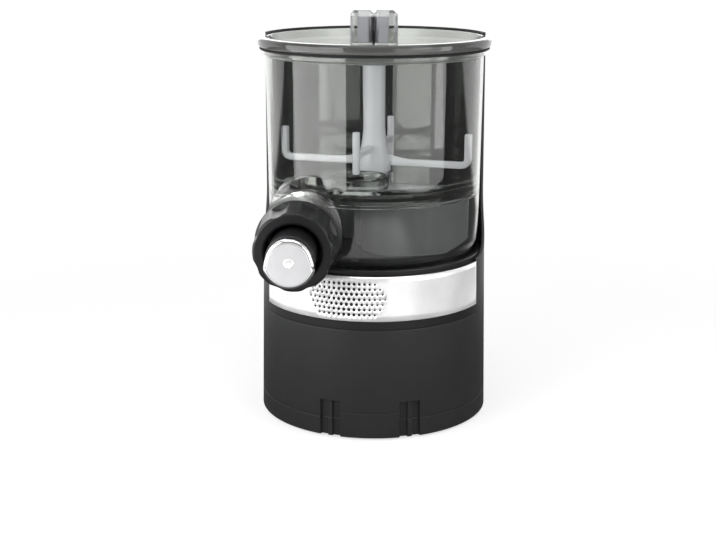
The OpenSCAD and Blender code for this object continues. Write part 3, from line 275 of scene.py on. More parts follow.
FINISH = {
    "housing": finish("charcoal moulding", (0.014, 0.014, 0.015), 0.45, specular=0.4,
                      relief=("fine grain", 2200.0, 0.12)),
    "black_plastic": finish("black moulding", (0.008, 0.008, 0.009), 0.36, specular=0.35,
                            relief=("fine grain", 2200.0, 0.06)), "smoke": clear("smoke acrylic", (0.80, 0.82, 0.79)),
    "frosted": clear("milky acrylic", (0.93, 0.92, 0.99), roughness=0.22, transmission=0.2, gloss=0.1, lit=0.0),
    "band_steel": finish("brushed band", (0.95, 0.95, 0.95), 0.24, 0.6, gloss=0.06, relief=("brushing", 2600.0, 0.14)),
    "chrome": finish("polished chrome", (0.92, 0.92, 0.93), 0.05, 1.0, cloud=(20.0, 0.98, 1.0), gloss=0.03,
                     relief=None), "satin_steel": finish("satin steel", (0.60, 0.60, 0.61), 0.42, 0.45, gloss=0.06,
                          relief=("fine grain", 1500.0, 0.15)),
    "plain_steel": finish("ground steel", (0.58, 0.58, 0.60), 0.28, 1.0, gloss=0.12, relief=("brushing", 1500.0, 0.2)),
    "zinc": finish("cast zinc", (0.50, 0.51, 0.53), 0.48, 1.0, gloss=0.16, relief=("fine grain", 700.0, 0.4)),
    "rubber": finish("soft rubber", (0.007, 0.007, 0.007), 0.7, specular=0.25, cloud=(60.0, 0.85, 1.25),
                     relief=("fine grain", 1200.0, 0.3)),
    "copper": finish("enamelled copper", (0.72, 0.30, 0.12), 0.3, 1.0, relief=("brushing", 3000.0, 0.8)),
    "bronze": finish("sintered bronze", (0.60, 0.42, 0.20), 0.42, 1.0, relief=("fine grain", 2600.0, 0.5)),
    "acetal": finish("white acetal", (0.78, 0.78, 0.75), 0.35, relief=("fine grain", 1500.0, 0.05)),
    "ferrite": finish("ferrite", (0.06, 0.06, 0.065), 0.6, relief=("fine grain", 900.0, 0.4)),
    "circuit": finish("green board", (0.015, 0.11, 0.05), 0.3, cloud=(160.0, 0.7, 1.3), coat=0.4),
    "key": finish("soft grey key", (0.30, 0.31, 0.32), 0.4, relief=("fine grain", 1800.0, 0.08)),
}

# Painted shade: the horn round the nozzle, the bowl's top and the lid's rim are tinted darker than the rest, and so are
# the knob and the rotor below the deck. The horn is also made rougher.
tree = FINISH["smoke"].node_tree
x, y, z = place_of(tree)
# Painted shade round the horn, close to the nozzle's axis and in front of the bowl's wall.
from_axis = maths(tree, "SQRT", maths(tree, "ADD", maths(tree, "POWER", maths(tree, "ADD", x, 0.067), 2.0),
                                      maths(tree, "POWER", maths(tree, "SUBTRACT", z, 0.190), 2.0)))
shade_mask = maths(tree, "MULTIPLY", fall(tree, from_axis, 0.038, 0.044),
             fall(tree, y, -0.086, -0.079))
paint_shade(FINISH["smoke"], shade_mask, 0.10)
roughen(FINISH["smoke"], shade_mask, 0.45)
# Painted shade on the bowl's top from 350 mm up, and on the knob from about 358.5 mm up.
paint_shade(FINISH["smoke"], ramp(tree, z, 0.350, 0.353), 0.72)
paint_shade(FINISH["smoke"], ramp(tree, z, 0.3583, 0.3587), 0.68)
LID_FINISH = clear("lid smoke", (0.74, 0.76, 0.73), roughness=0.06, transmission=0.40)
tree = LID_FINISH.node_tree
x, y, z = place_of(tree)
far = length(tree, x, y)
# Painted shade on the lid's rim, beyond 100 mm from the axis, over its front half.
shade_mask = maths(tree, "MULTIPLY", ramp(tree, far, 0.1000, 0.1025), fall(tree, y, 0.0, 0.05))
paint_shade(LID_FINISH, shade_mask, 0.10)
tree = FINISH["frosted"].node_tree
x, y, z = place_of(tree)
# Painted shade on the rotor, below the deck.
paint_shade(FINISH["frosted"], fall(tree, z, 0.215, 0.240), 0.22)
for name, part in NODES.items():
    for socket in part.material_slots:
        socket.material = FINISH[SLOT_OF[name]]
print(len(FINISH), "finishes")

# %% [markdown]
# ## Stage
# White paper lies under the machine and soft lamps stand round it. A white
# floor could come from strong light, but that would bleach the machine, so the
# paper glows for the camera instead. What a mirror or clear plastic sees is set
# apart, because the dark studio between the lamps gives the bowl its dark bands.

# %% Stage: floor, backdrop and lights
FLOOR_HALF, FLOOR_Z = 6, -0.0002      # metres
NEAR_GLOW, AMBIENT = 0.62, 0.55       # glow of the paper near the machine, and of the room


def stage_sheet(name, points, material):
    """A flat sheet of the studio, given by its corners."""
    mesh = bpy.data.meshes.new(name)
    mesh.from_pydata(points, [], [list(range(len(points)))])
    sheet = bpy.data.objects.new(name, mesh)
    sheet.data.materials.append(material)
    bpy.context.scene.collection.objects.link(sheet)
    return sheet


def white_paper(name):
    """White paper. The camera and clear plastics see it partly as plain white, wholly so away from the machine,
    so that only the shade near the machine shows. Mirrors see a bright ring in front and a bright back, with
    dark studio between: 0.12 + 1.05 max(ring, back), the ring lying between radii 0.5 m and 1 m."""
    material = bpy.data.materials.new(name)
    material.use_nodes = True
    tree = material.node_tree
    shader = tree.nodes["Principled BSDF"]
    shader.inputs["Base Color"].default_value = (0.9, 0.9, 0.9, 1)
    shader.inputs["Roughness"].default_value = 0.9
    shader.inputs["Specular IOR Level"].default_value = 0.0
    x, y, z = place_of(tree)
    far = length(tree, x, y)
    ring = maths(tree, "MULTIPLY", ramp(tree, far, 0.42, 0.56), fall(tree, far, 0.92, 1.04))
    ring = maths(tree, "MULTIPLY", ring, fall(tree, x, 0.35, 0.60))
    mirrored = maths(tree, "MULTIPLY_ADD", maths(tree, "MAXIMUM", ring, ramp(tree, y, 0.75, 0.95)), 1.05, 0.12)
    path = node(tree, "ShaderNodeLightPath")
    glossy = path.outputs["Is Glossy Ray"]
    seen = maths(tree, "MAXIMUM", path.outputs["Is Camera Ray"], path.outputs["Is Transmission Ray"])
    glow = maths(tree, "MULTIPLY_ADD", ramp(tree, far, 0.30, 0.80), 1 - NEAR_GLOW, NEAR_GLOW)
    shine = node(tree, "ShaderNodeEmission", {"Strength": maths(tree, "ADD", maths(tree, "SUBTRACT", 1.0, glossy),
                                                                maths(tree, "MULTIPLY", glossy, mirrored))})
    share = maths(tree, "MAXIMUM", maths(tree, "MULTIPLY", seen, glow), glossy)
    blend = node(tree, "ShaderNodeMixShader", {0: share, 1: shader.outputs[0], 2: shine.outputs[0]})
    tree.links.new(blend.outputs[0], tree.nodes["Material Output"].inputs["Surface"])
    return material


stage_sheet("floor", [(a * FLOOR_HALF, b * FLOOR_HALF, FLOOR_Z) for a, b in ((-1, -1), (1, -1), (1, 1), (-1, 1))],
            white_paper("floor paper"))

world = bpy.data.worlds.new("studio")
bpy.context.scene.world = world
world.use_nodes = True
tree = world.node_tree
lit = tree.nodes["Background"]
lit.inputs["Color"].default_value = (1, 1, 1, 1)
path = node(tree, "ShaderNodeLightPath")
spot = node(tree, "ShaderNodeTexCoord")
split = node(tree, "ShaderNodeSeparateXYZ", {"Vector": spot.outputs["Generated"]})
seen = maths(tree, "MAXIMUM", path.outputs["Is Camera Ray"], path.outputs["Is Transmission Ray"])
glossy = path.outputs["Is Glossy Ray"]
mirrored = maths(tree, "MULTIPLY_ADD", ramp(tree, split.outputs["Y"], 0.1, 0.5), 0.8, 0.3)
ambient = maths(tree, "MULTIPLY_ADD", seen, 1 - AMBIENT, AMBIENT)
strength = maths(tree, "ADD", maths(tree, "MULTIPLY", glossy, mirrored),
                 maths(tree, "MULTIPLY", maths(tree, "SUBTRACT", 1.0, glossy), ambient))
tree.links.new(strength, lit.inputs["Strength"])


def softbox(name, place, aim, size, power):
    """A rectangular lamp at place, facing aim."""
    lamp = bpy.data.lights.new(name, "AREA")
    lamp.shape = "RECTANGLE"
    lamp.size, lamp.size_y = size
    lamp.energy = power
    box = bpy.data.objects.new(name, lamp)
    box.location = place
    direction = np.array(aim, float) - np.array(place, float)
    flat = math.hypot(direction[0], direction[1])
    box.rotation_euler = (math.atan2(flat, -direction[2]), 0, math.atan2(direction[1], direction[0]) - math.pi / 2)
    bpy.context.scene.collection.objects.link(box)
    return box


softbox("overhead", (0.1, -0.3, 1.7), (0, 0, 0.1), (1.6, 1.6), 14)
softbox("front left", (-1.1, -1.3, 1.0), (0, 0, 0.2), (0.7, 1.3), 6)
softbox("front right", (1.2, -1.1, 0.8), (0, 0, 0.2), (0.6, 1.2), 4)
softbox("left panel", (-0.4165, -0.321, 0.30), (0, -0.11, 0.30), (0.60, 0.36), 2.4)
softbox("right panel", (0.457, -0.419, 0.30), (0, 0, 0.30), (0.67, 0.36), 1.35)
softbox("right strip", (0.510, -0.206, 0.335), (0, 0, 0.335), (0.11, 0.29), 0.22)
softbox("low back", (0.0, 2.2, 0.80), (0, 0, 0.36), (2.4, 0.9), 10)
bpy.context.scene.view_settings.view_transform = "Standard"
print("stage ready")

# %% [markdown]
# ## From arrays to meshes
# Every new piece is a surface worked out with numpy. A grid of points becomes a
# mesh of four-sided faces, its poles and seams are merged, and a bevel-like edge
# comes from the points themselves, not from a modifier.

# %% Arrays to objects
def mesh_of(name, points, faces, sharp=35.0, merge=0.002, outward=True):
    """A mesh from points in millimetres and an array of faces; doubles are merged and sharp turns keep their
    edge."""
    mesh = bpy.data.meshes.new(name)
    faces = np.asarray(faces, np.int32)
    mesh.vertices.add(len(points))
    mesh.vertices.foreach_set("co", (np.asarray(points, float) * MM).ravel())
    mesh.loops.add(faces.size)
    mesh.loops.foreach_set("vertex_index", faces.ravel())
    mesh.polygons.add(len(faces))
    mesh.polygons.foreach_set("loop_start", np.arange(0, faces.size, faces.shape[1], dtype=np.int32))
    mesh.update(calc_edges=True)
    work = bmesh.new()
    work.from_mesh(mesh)
    bmesh.ops.remove_doubles(work, verts=work.verts, dist=merge * MM)
    loose = [v for v in work.verts if not v.link_faces]
    bmesh.ops.delete(work, geom=loose, context="VERTS")
    if outward:
        bmesh.ops.recalc_face_normals(work, faces=work.faces)
    work.to_mesh(mesh)
    work.free()
    mesh.shade_smooth()
    mesh.set_sharp_from_angle(angle=math.radians(sharp))
    return mesh


def add_piece(name, mesh, body, slot, *stands_for, even=True, finish_as=None):
    """Puts a mesh into the scene as a piece that rides on a body, in a record slot, in place of CAD nodes."""
    made = bpy.data.objects.new(name, mesh)
    bpy.context.scene.collection.objects.link(made)
    mesh.materials.clear()
    mesh.materials.append(finish_as or FINISH[slot])
    if even:
        level = made.modifiers.new("even shading", "WEIGHTED_NORMAL")
        level.keep_sharp = True
    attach(made, body)
    if stands_for:
        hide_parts(*stands_for)
    print(f"{name}: {len(mesh.polygons)} faces")
    return made


def grid_faces(rows, columns, close_rows=False, close_columns=False):
    """Four-sided faces of a grid of rows x columns points, closed on itself where asked."""
    r = np.arange(rows if close_rows else rows - 1)
    c = np.arange(columns if close_columns else columns - 1)
    i, j = np.meshgrid(r, c, indexing="ij")
    up, right = (i + 1) % rows, (j + 1) % columns
    return np.stack([i * columns + j, i * columns + right, up * columns + right, up * columns + j], -1).reshape(-1, 4)


def join(*parts):
    """Joins (points, faces) parts into one pair of arrays."""
    points, faces, start = [], [], 0
    for p, f in parts:
        points.append(np.asarray(p, float).reshape(-1, 3))
        faces.append(np.asarray(f) + start)
        start += len(points[-1])
    return np.concatenate(points), np.concatenate(faces)


# %% Rounded outlines
def rounded(corners, steps=6, closed=True):
    """An outline through corners (x, y, radius). Each corner is a quadratic curve between the two points that
    lie one tangent length before and behind it: (1-t)^2 before + 2t(1-t) corner + t^2 behind."""
    corners = np.array(corners, float)
    spots, reach = corners[:, :2], corners[:, 2]
    n = len(spots)
    t = np.linspace(0, 1, steps + 1)[:, None]
    out = []
    for i in range(n):
        if reach[i] <= 0 or (not closed and i in (0, n - 1)):
            out.append(spots[i][None])
            continue
        back, ahead = spots[i - 1] - spots[i], spots[(i + 1) % n] - spots[i]
        room = min(np.linalg.norm(back), np.linalg.norm(ahead)) * 0.49
        cut = min(reach[i], room)
        a = spots[i] + back / np.linalg.norm(back) * cut
        b = spots[i] + ahead / np.linalg.norm(ahead) * cut
        out.append((1 - t) ** 2 * a + 2 * t * (1 - t) * spots[i] + t ** 2 * b)
    return np.concatenate(out)


def lathe(profile, segments=128, closed=True, place=(0, 0, 0), shape=None):
    """Turns a profile (radius, height), listed anticlockwise, round +Z. shape(radius, angle, height) may change
    the radius. Point = (r cos a, r sin a, h)."""
    profile = np.asarray(profile, float)
    angle = np.arange(segments) * 2 * math.pi / segments
    r, a = np.meshgrid(profile[:, 0], angle, indexing="ij")
    if shape is not None:
        r = shape(r, a, np.broadcast_to(profile[:, 1:2], r.shape))
    points = np.stack([r * np.cos(a), r * np.sin(a), np.broadcast_to(profile[:, 1:2], r.shape)], -1)
    faces = grid_faces(len(profile), segments, closed, True)[:, ::-1]
    return points.reshape(-1, 3) + np.array(place), faces


def facing_front(points, place):
    """Turns points whose axis is +Z so that it looks along -Y, and moves their origin to place: (x, y, z) -> (x,
    -z, y)."""
    p = np.asarray(points)
    return np.stack([p[:, 0], -p[:, 2], p[:, 1]], -1) + np.array(place)


# %% [markdown]
# ## Moulded walls round the base
# The tray, the apron, the lip, the band and the shell are all curved walls that
# follow one slightly tapered body. Each is a grid in angle and height with some
# cells left out. The outer face drops in a quarter circle near every edge, which
# draws the fine seam lines that a real moulding shows.

# %% Body and wall
BASE_R, BASE_TAPER, BASE_TOP = 112.5, 3.3, 158
SHELL_R, SHELL_TAPER, SHELL_RISE = 109.2, 1.6, 211.9
MEAN_R, GROOVE_R, BAND_R = 111, 112.3, 109.4      # radii that turn millimetres along the wall into an angle


def body_radius(z):
    """Radius of the body at height z: one taper up to the band's top, and a slower one above it."""
    z = np.asarray(z, float)
    return np.where(z <= BASE_TOP, BASE_R - BASE_TAPER * z / BASE_TOP,
                    SHELL_R - SHELL_TAPER * (z - BASE_TOP) / SHELL_RISE)


def stations(low, high, step, features=(), near=(0.15, 0.4, 0.8)):
    """Grid lines from low to high, with extra lines close to the ends and on both sides of each feature."""
    lines = [np.linspace(low, high, max(2, int(math.ceil((high - low) / step)) + 1))]
    for f in (low, high, *features):
        lines.append(np.array([f] + [f + s * d for d in near for s in (-1, 1)]))
    out = np.unique(np.round(np.concatenate(lines), 4))
    return out[(out >= low - 1e-6) & (out <= high + 1e-6)]


def wall(turn, height, keep, thick, edge=0.6, depth=0.0, closed=False, radius=body_radius):
    """Curved wall over a grid of turns (degrees from the front towards the right) and heights, with cells left
    out where keep is False. Outer radius = radius(z) - depth - (edge - sqrt(edge^2 - (edge - d)^2)), d being the
    distance to the nearest edge of what is kept; the inner face lies thick inside the body."""
    turn, height = np.broadcast_arrays(turn, height)
    rows, cols = turn.shape
    faces = grid_faces(rows, cols, False, closed)
    kept = keep.reshape(-1)
    cells = keep.shape
    pad = np.zeros((cells[0] + 2, cells[1] + 2), bool)
    pad[1:-1, 1:-1] = keep
    if closed:
        pad[1:-1, 0], pad[1:-1, -1] = keep[:, -1], keep[:, 0]
    sides = []
    for k, (di, dj) in enumerate(((-1, 0), (0, 1), (1, 0), (0, -1))):
        gone = keep & ~pad[1 + di:1 + di + cells[0], 1 + dj:1 + dj + cells[1]]
        f = faces[gone.reshape(-1)]
        sides.append(f[:, [k, (k + 1) % 4]])
    rim = np.concatenate(sides)
    arc = np.stack([np.radians(turn.ravel()) * MEAN_R, height.ravel()], -1)
    a, b = arc[rim[:, 0]], arc[rim[:, 1]]
    if closed:      # an edge over the seam would run the long way round, so it is drawn in to a point
        b = np.where(np.abs(b - a) > 300, a, b)
    near = np.full(len(arc), np.inf)
    for start in range(0, len(rim), 64):
        p, q = a[start:start + 64], b[start:start + 64]
        line = q - p
        size = np.maximum((line ** 2).sum(-1), 1e-12)
        along = np.clip(((arc[:, None] - p) * line).sum(-1) / size, 0, 1)
        near = np.minimum(near, np.linalg.norm(arc[:, None] - p - along[..., None] * line, axis=-1).min(1))
    d = np.minimum(near, edge)
    drop = edge - np.sqrt(np.maximum(edge ** 2 - (edge - d) ** 2, 0))
    base = radius(height.ravel())
    out_r, in_r = base - np.broadcast_to(depth, turn.shape).ravel() - drop, base - thick
    t = np.radians(turn.ravel())
    ring = lambda r: np.stack([r * np.sin(t), -r * np.cos(t), height.ravel()], -1)
    n = len(t)
    outer = faces[kept]
    walls = np.stack([rim[:, 1], rim[:, 0], rim[:, 0] + n, rim[:, 1] + n], -1)
    return np.concatenate([ring(out_r), ring(in_r)]), np.concatenate([outer, outer[:, ::-1] + n, walls])


def step_up(x, at, width=0.8):
    """0 below at and 1 above it, over a smooth ramp of the given width: 3t^2 - 2t^3."""
    t = np.clip((x - at) / width + 0.5, 0, 1)
    return t * t * (3 - 2 * t)


# %% Front grooves: two upright recesses with a rib down the middle of each
GROOVE_X, GROOVE_W, GROOVE_TOP, GROOVE_D = 38.0, 20.0, 36.0, 3.2


def groove_depth(turn, z):
    """Depth of the grooves: a smooth-edged slot on each side of the front, cut back to nothing on its rib."""
    across = np.radians(np.abs(turn)) * GROOVE_R - math.asin(GROOVE_X / BASE_R) * GROOVE_R
    slot = step_up(across, -GROOVE_W / 2) * (1 - step_up(across, GROOVE_W / 2))
    rib = step_up(across, -GROOVE_W * 0.12, 1.2) * (1 - step_up(across, GROOVE_W * 0.12, 1.2))
    return GROOVE_D * slot * (1 - 0.82 * rib) * (1 - step_up(z, GROOVE_TOP, 1.4))


def groove_turns():
    """Turns, in degrees, of the grooves' and ribs' edges."""
    mid = math.degrees(math.asin(GROOVE_X / BASE_R))
    half = [math.degrees(w / GROOVE_R) for w in (GROOVE_W / 2, GROOVE_W * 0.12)]
    return [s * (mid + o * h) for s in (-1, 1) for h in half for o in (-1, 1)]


SEAM, TONGUE_TOP, TONGUE_TURN = 19.2, 26.2, math.degrees(math.asin(28 / 111.9))
FRONT_TURN = math.degrees(math.acos(45.0 / 111.5))
DEG = math.degrees(1 / MEAN_R)           # one millimetre along the wall, in degrees

# %% Base tray: the low wall, its raised tongue, and the floor
def turns_of(low, high, step, features):
    """Stations along the wall, with the spacing near each feature given in millimetres."""
    return stations(low, high, step, features, near=tuple(DEG * d for d in (0.2, 0.5, 0.9)))


turn = turns_of(-180, 180, 2.0, groove_turns() + [-TONGUE_TURN, TONGUE_TURN])[:-1]
height = stations(1.5, TONGUE_TOP, 3.0, [SEAM])
T, Z = np.meshgrid(turn, height)
middle_t = (np.append(turn[1:], 180) + turn) / 2
middle_z = (height[1:] + height[:-1]) / 2
keep = (middle_z[:, None] < SEAM) | (np.abs(middle_t)[None] < TONGUE_TURN)
tray_wall = wall(T, Z, keep, 5.6 + 0 * Z.ravel(), depth=groove_depth(T, Z), closed=True)
tray_floor = lathe(rounded([(0, 1.5, 0), (109, 1.5, 0.6), (109, 4.5, 0.6), (0, 4.5, 0)], closed=False), 128,
                   closed=False)
tray = mesh_of("base_tray_shell", *join(tray_wall, tray_floor))
add_piece("base_tray_shell", tray, "base", "housing", "base_tray")

# %% Front apron
turn = turns_of(-FRONT_TURN, FRONT_TURN, 2.0, groove_turns() + [-TONGUE_TURN, TONGUE_TURN])
height = stations(SEAM, 107.0, 4.0, [TONGUE_TOP, GROOVE_TOP])
T, Z = np.meshgrid(turn, height)
keep = ((height[1:] + height[:-1])[:, None] / 2 > TONGUE_TOP) | (np.abs(turn[1:] + turn[:-1])[None] / 2 > TONGUE_TURN)
apron = mesh_of("front_apron_panel", *wall(T, Z, keep, 5.6, edge=0.7, depth=groove_depth(T, Z)))
add_piece("front_apron_panel", apron, "base", "housing", "front_apron")

# %% Lip and skirt of the top deck
turn = turns_of(-FRONT_TURN, FRONT_TURN, 2.0, [-24 - 2.6, 6 + 2.6])
height = stations(107.0, 157.9, 4.0, [115.5, 121, 145.5])
T, Z = np.meshgrid(turn, height)
mid_t, mid_z = (turn[1:] + turn[:-1])[None] / 2, (height[1:] + height[:-1])[:, None] / 2
keep = ~((np.abs(mid_t + 9) < 17.6) & (mid_z > 121) & (mid_z < 145.5))
skirt = wall(T, Z, keep, 3.4, edge=0.5, depth=0.9 * step_up(Z, 115.55, 0.3))
plate = lathe(rounded([(16, 146, 0.4), (16, 148, 0), (106.2, 148, 0.5), (106.2, 152, 0.5), (19.5, 152, 0.3),
                       (19.5, 154, 0.5), (16, 154, 0.5)][::-1])[::-1], 160)
deck = mesh_of("top_deck_moulding", *join(skirt, plate))
add_piece("top_deck_moulding", deck, "base", "black_plastic", "top_deck")

# %% [markdown]
# ## Perforated band
# The band is one strip of brushed steel with a hexagonal field of holes in seven
# staggered rows, large in the middle and smaller towards the sides. The strip is
# drawn flat, with the holes as rings of points, and cut into triangles between
# them. It is then rolled round the body and given its thickness.

# %% Hole field
BAND_LOW, BAND_HIGH, BAND_TURN = 115.65, 157.9, FRONT_TURN - 0.35
ROW_GAP, HOLE_GAP, ROWS = 4.85, 4.8, 7
field_middle, field_height = -22.1, 136.4
holes = []
for row in range(ROWS):
    up = row - (ROWS - 1) / 2
    count = 16 - abs(up) - (1 if abs(up) > 2 else 0)
    along = (np.arange(int(count)) - (int(count) - 1) / 2) * HOLE_GAP
    far = np.abs(along) / (8 * HOLE_GAP)
    size = 1.72 - 0.95 * far ** 1.15 - 0.1 * abs(up) / 3
    holes += [(field_middle + a, field_height + up * ROW_GAP, max(0.6, s)) for a, s in zip(along, size)]
holes = np.array(holes)

# %% Strip with holes, rolled round the body
ring = np.linspace(0, 2 * math.pi, 14, endpoint=False)
rings = holes[:, None, :2] + holes[:, None, 2:] * np.stack([np.cos(ring), np.sin(ring)], -1)[None]
half = math.radians(BAND_TURN) * BAND_R
frame_x = np.linspace(-half, half, 97)
frame_z = np.linspace(BAND_LOW, BAND_HIGH, 9)
gx, gz = np.meshgrid(frame_x, frame_z)
lattice = np.stack([gx.ravel(), gz.ravel()], -1)
apart = np.linalg.norm(lattice[:, None] - holes[None, :, :2], axis=-1) - holes[None, :, 2]
lattice = lattice[(apart.min(1) > 0.7)]
corners = np.array([(-half, BAND_LOW), (half, BAND_LOW), (half, BAND_HIGH), (-half, BAND_HIGH)])
flat = np.concatenate([rings.reshape(-1, 2), lattice, corners])
size = len(ring)
edges = [(h * size + k, h * size + (k + 1) % size) for h in range(len(holes)) for k in range(size)]
start = len(flat) - 4
edges += [(start + k, start + (k + 1) % 4) for k in range(4)]
spots, _, cells, *_ = geometry.delaunay_2d_cdt([tuple(p) for p in flat], edges, [], 1, 1e-5)
spots, cells = np.array([tuple(p) for p in spots]), np.array(cells)
centre = spots[cells].mean(1)
inside = (np.linalg.norm(centre[:, None] - holes[None, :, :2], axis=-1) < holes[None, :, 2] * 0.98).any(1)
cells = cells[~inside]
t = spots[:, 0] / BAND_R
r = body_radius(spots[:, 1])
skin = np.stack([r * np.sin(t), -r * np.cos(t), spots[:, 1]], -1)
band = add_piece("perforated_band", mesh_of("perforated_band", skin, cells, sharp=40, outward=False), "base",
                 "band_steel", "steel_band", even=False)
thick = band.modifiers.new("sheet", "SOLIDIFY")
thick.thickness, thick.offset = 0.25 * MM, -1
print(len(holes), "holes")

# %% Black mesh straight behind the holes: it stands for the intake filter, and its black also paints the shade seen through the holes
turns = np.radians(np.linspace(-36, 14, 60))
heights = np.linspace(119, 153.5, 12)
t, h = np.meshgrid(turns, heights, indexing="ij")
weave = 0.05 * np.sin(t * 700) * np.sin(h * 6.3)
layers = [np.stack([(body_radius(h) - d + weave) * np.sin(t), -(body_radius(h) - d + weave) * np.cos(t), h],
                   -1) for d in (0.5, 1.1)]
count, cells = len(turns) * len(heights), grid_faces(len(turns), len(heights))
rows, columns = len(turns), len(heights)
index = np.arange(count).reshape(rows, columns)
edge = np.concatenate([index[:, 0], index[-1, 1:], index[-2::-1, -1], index[0, -2:0:-1]])
sides = np.stack([edge, np.roll(edge, -1), np.roll(edge, -1) + count, edge + count], -1)
shade_backing = mesh_of("hole_shade_backing", np.concatenate([layer.reshape(-1, 3) for layer in layers]),
                  np.concatenate([cells, cells[:, ::-1] + count, sides]), sharp=40)
add_piece("hole_shade_backing", shade_backing, "base", "rubber", "intake_filter")

# %% [markdown]
# ## Rear shell
# The shell stands round the back of the bowl, higher than the lid. Its front
# edge climbs from the band in an arc and then runs straight up. The grid follows
# that outline: the lower rows end on the arc, and the upper rows exist only behind
# the straight edge.

# %% Shell grid
ARC_R, ARC_Y, ARC_Z, SHELL_TOP, EDGE_Y = 59.6, -44.6, 219.6, 369.9, 15.0
def turn_at(y, z=200.0):
    """Turn of the body's surface where it crosses the plane at depth y."""
    return np.degrees(np.arccos(-y / body_radius(z)))


side, edge_turn = float(turn_at(-44.6, 158)), float(turn_at(EDGE_Y, 260))
window_mid, window_half = 122.0, math.degrees(14.15 / MEAN_R)
vents = [180 + k * 5 for k in range(-4, 5)]
vent_half = math.degrees(1.5 / MEAN_R)
marks = [edge_turn, window_mid - window_half, window_mid + window_half, 360 - edge_turn, 180 - 3, 180 + 3]
marks += [v + s * vent_half for v in vents for s in (-1, 1)]
arc_turns = turn_at(ARC_Y + ARC_R * np.sin(np.radians(np.arange(0, 91, 6))), 190)
turn = np.unique(np.concatenate([turns_of(side, 360 - side, 2.5, marks), arc_turns, 360 - arc_turns]))
low_rows = stations(0, 1, 0.03, near=(0.002, 0.005, 0.01))
front = np.minimum(turn, 360 - turn)
y = -body_radius(200.0) * np.cos(np.radians(front))
arc = ARC_Z - np.sqrt(np.maximum(ARC_R ** 2 - np.clip(y - ARC_Y, 0, ARC_R) ** 2, 0))
climb = np.where(y < EDGE_Y, arc, ARC_Z)
base_rows = stations(SEAM, 158.0, 6.0, [26, 40.5, 36, 120.15, 49.2, 93.2])
middle_rows = 158.0 + low_rows[1:, None] * (climb - 158.0)[None]
upper_rows = stations(ARC_Z, SHELL_TOP, 8.0)[1:]
Z = np.concatenate([np.repeat(base_rows[:, None], len(turn), 1), middle_rows,
                    np.repeat(upper_rows[:, None], len(turn), 1)])
T = np.broadcast_to(turn, Z.shape)
mid_t = (turn[1:] + turn[:-1])[None] / 2
mid_z = (Z[1:, 1:] + Z[:-1, :-1]) / 2
above_arc = np.arange(len(Z) - 1)[:, None] >= len(base_rows) + len(low_rows) - 2
gone = (np.minimum(mid_t, 360 - mid_t) < edge_turn) & above_arc
gone |= (np.abs(mid_t - window_mid) < window_half) & (mid_z > 36) & (mid_z < 120.15)
for v in vents:
    gone |= (np.abs(mid_t - v) < vent_half) & (mid_z > 49.2) & (mid_z < 93.2)
gone |= (np.abs(mid_t - 180) < 3) & (mid_z > 26) & (mid_z < 40.5)
shell = mesh_of("rear_shell_moulding", *wall(T, Z, ~gone, 2.5, edge=0.8), sharp=40)
add_piece("rear_shell_moulding", shell, "base", "housing", "rear_shell")

# %% Seat ring under the bowl, and feet
seat = lathe(rounded([(78.6, 152.05, 0.4), (105.5, 152.05, 0.4), (105.5, 162.9, 1.2), (100.9, 162.9, 0.8),
                      (100.4, 160, 0.5), (78.6, 160, 0.8)]), 160)
add_piece("bowl_seat_cushion", mesh_of("bowl_seat_cushion", *seat), "base", "black_plastic", "bowl_seat_ring")
foot = rounded([(0, 0.8, 0), (5.4, 0.8, 0.4), (6.3, 0, 0.5), (8.4, 0, 0.7), (9, 1.2, 0.5), (9, 3.4, 0.2),
                (0, 3.4, 0)], closed=False)
pad = rounded([(0, 0, 0), (8.4, 0, 0.7), (9, 1.2, 0.5), (9, 3.4, 0.2), (0, 3.4, 0)], closed=False)
spots = [(92.5 * math.sin(math.radians(a)), -92.5 * math.cos(math.radians(a)), 0) for a in (48, 132, 228, 312)]
feet = [lathe(foot, 48, closed=False, place=p) for p in spots] + [lathe(pad, 48, closed=False)]
add_piece("feet_with_rims", mesh_of("feet_with_rims", *join(*feet)), "base", "rubber", "rubber_feet")

# %% [markdown]
# ## Clear mixing bowl
# The bowl is one smooth moulding, with a horn at the front left that carries the dough
# out to a spout. Its outside is the union of two turned or lofted solids and its
# inside is cut out of them, the way that a mould and its core would do it.

# %% Boolean steps
def solid_of(name, points, faces):
    """A temporary closed solid for cutting."""
    tool = bpy.data.objects.new(name, mesh_of(name, points, faces))
    bpy.context.scene.collection.objects.link(tool)
    return tool


def combine(target, tool, operation):
    """target UNION or DIFFERENCE tool; the tool is removed afterwards."""
    cut = target.modifiers.new("cut", "BOOLEAN")
    cut.operation, cut.object, cut.solver = operation, tool, "EXACT"
    graph = bpy.context.evaluated_depsgraph_get()
    mesh = bpy.data.meshes.new_from_object(target.evaluated_get(graph))
    target.modifiers.clear()
    target.data = mesh
    bpy.data.objects.remove(tool)


def take_mesh(solid, sharp=None):
    """The mesh of a finished solid, whose temporary object is removed; turns over sharp degrees keep their edge."""
    mesh = solid.data
    bpy.data.objects.remove(solid)
    if sharp:
        mesh.shade_smooth()
        mesh.set_sharp_from_angle(angle=math.radians(sharp))
    return mesh


# %% Bowl sizes
SEAT, FLOOR, RIM = 160.0, 163.0, 356.0
NOZZLE = np.array([-67.0, 0.0, 190.0])
MOUTH = np.array([13.0, 15.3])
WALL_FRONT, NUT_BACK, SPOUT_FRONT = 78.07, 105.07, 111.97


def bowl_radius(z):
    """Outside radius of the bowl, which widens evenly from foot to rim."""
    return 104.4 - 1.8 * (RIM - z) / 196


def front_only(bead, back=13.0):
    """A shape for lathe(): beyond the bowl's wall, the radius falls back to the wall behind the plane y = back."""
    def shape(r, a, h):
        y = r * np.sin(a)
        share = 1 - step_up(y, back - 3, 6)
        return np.where(r > bead, bead + (r - bead) * share, r)
    return shape


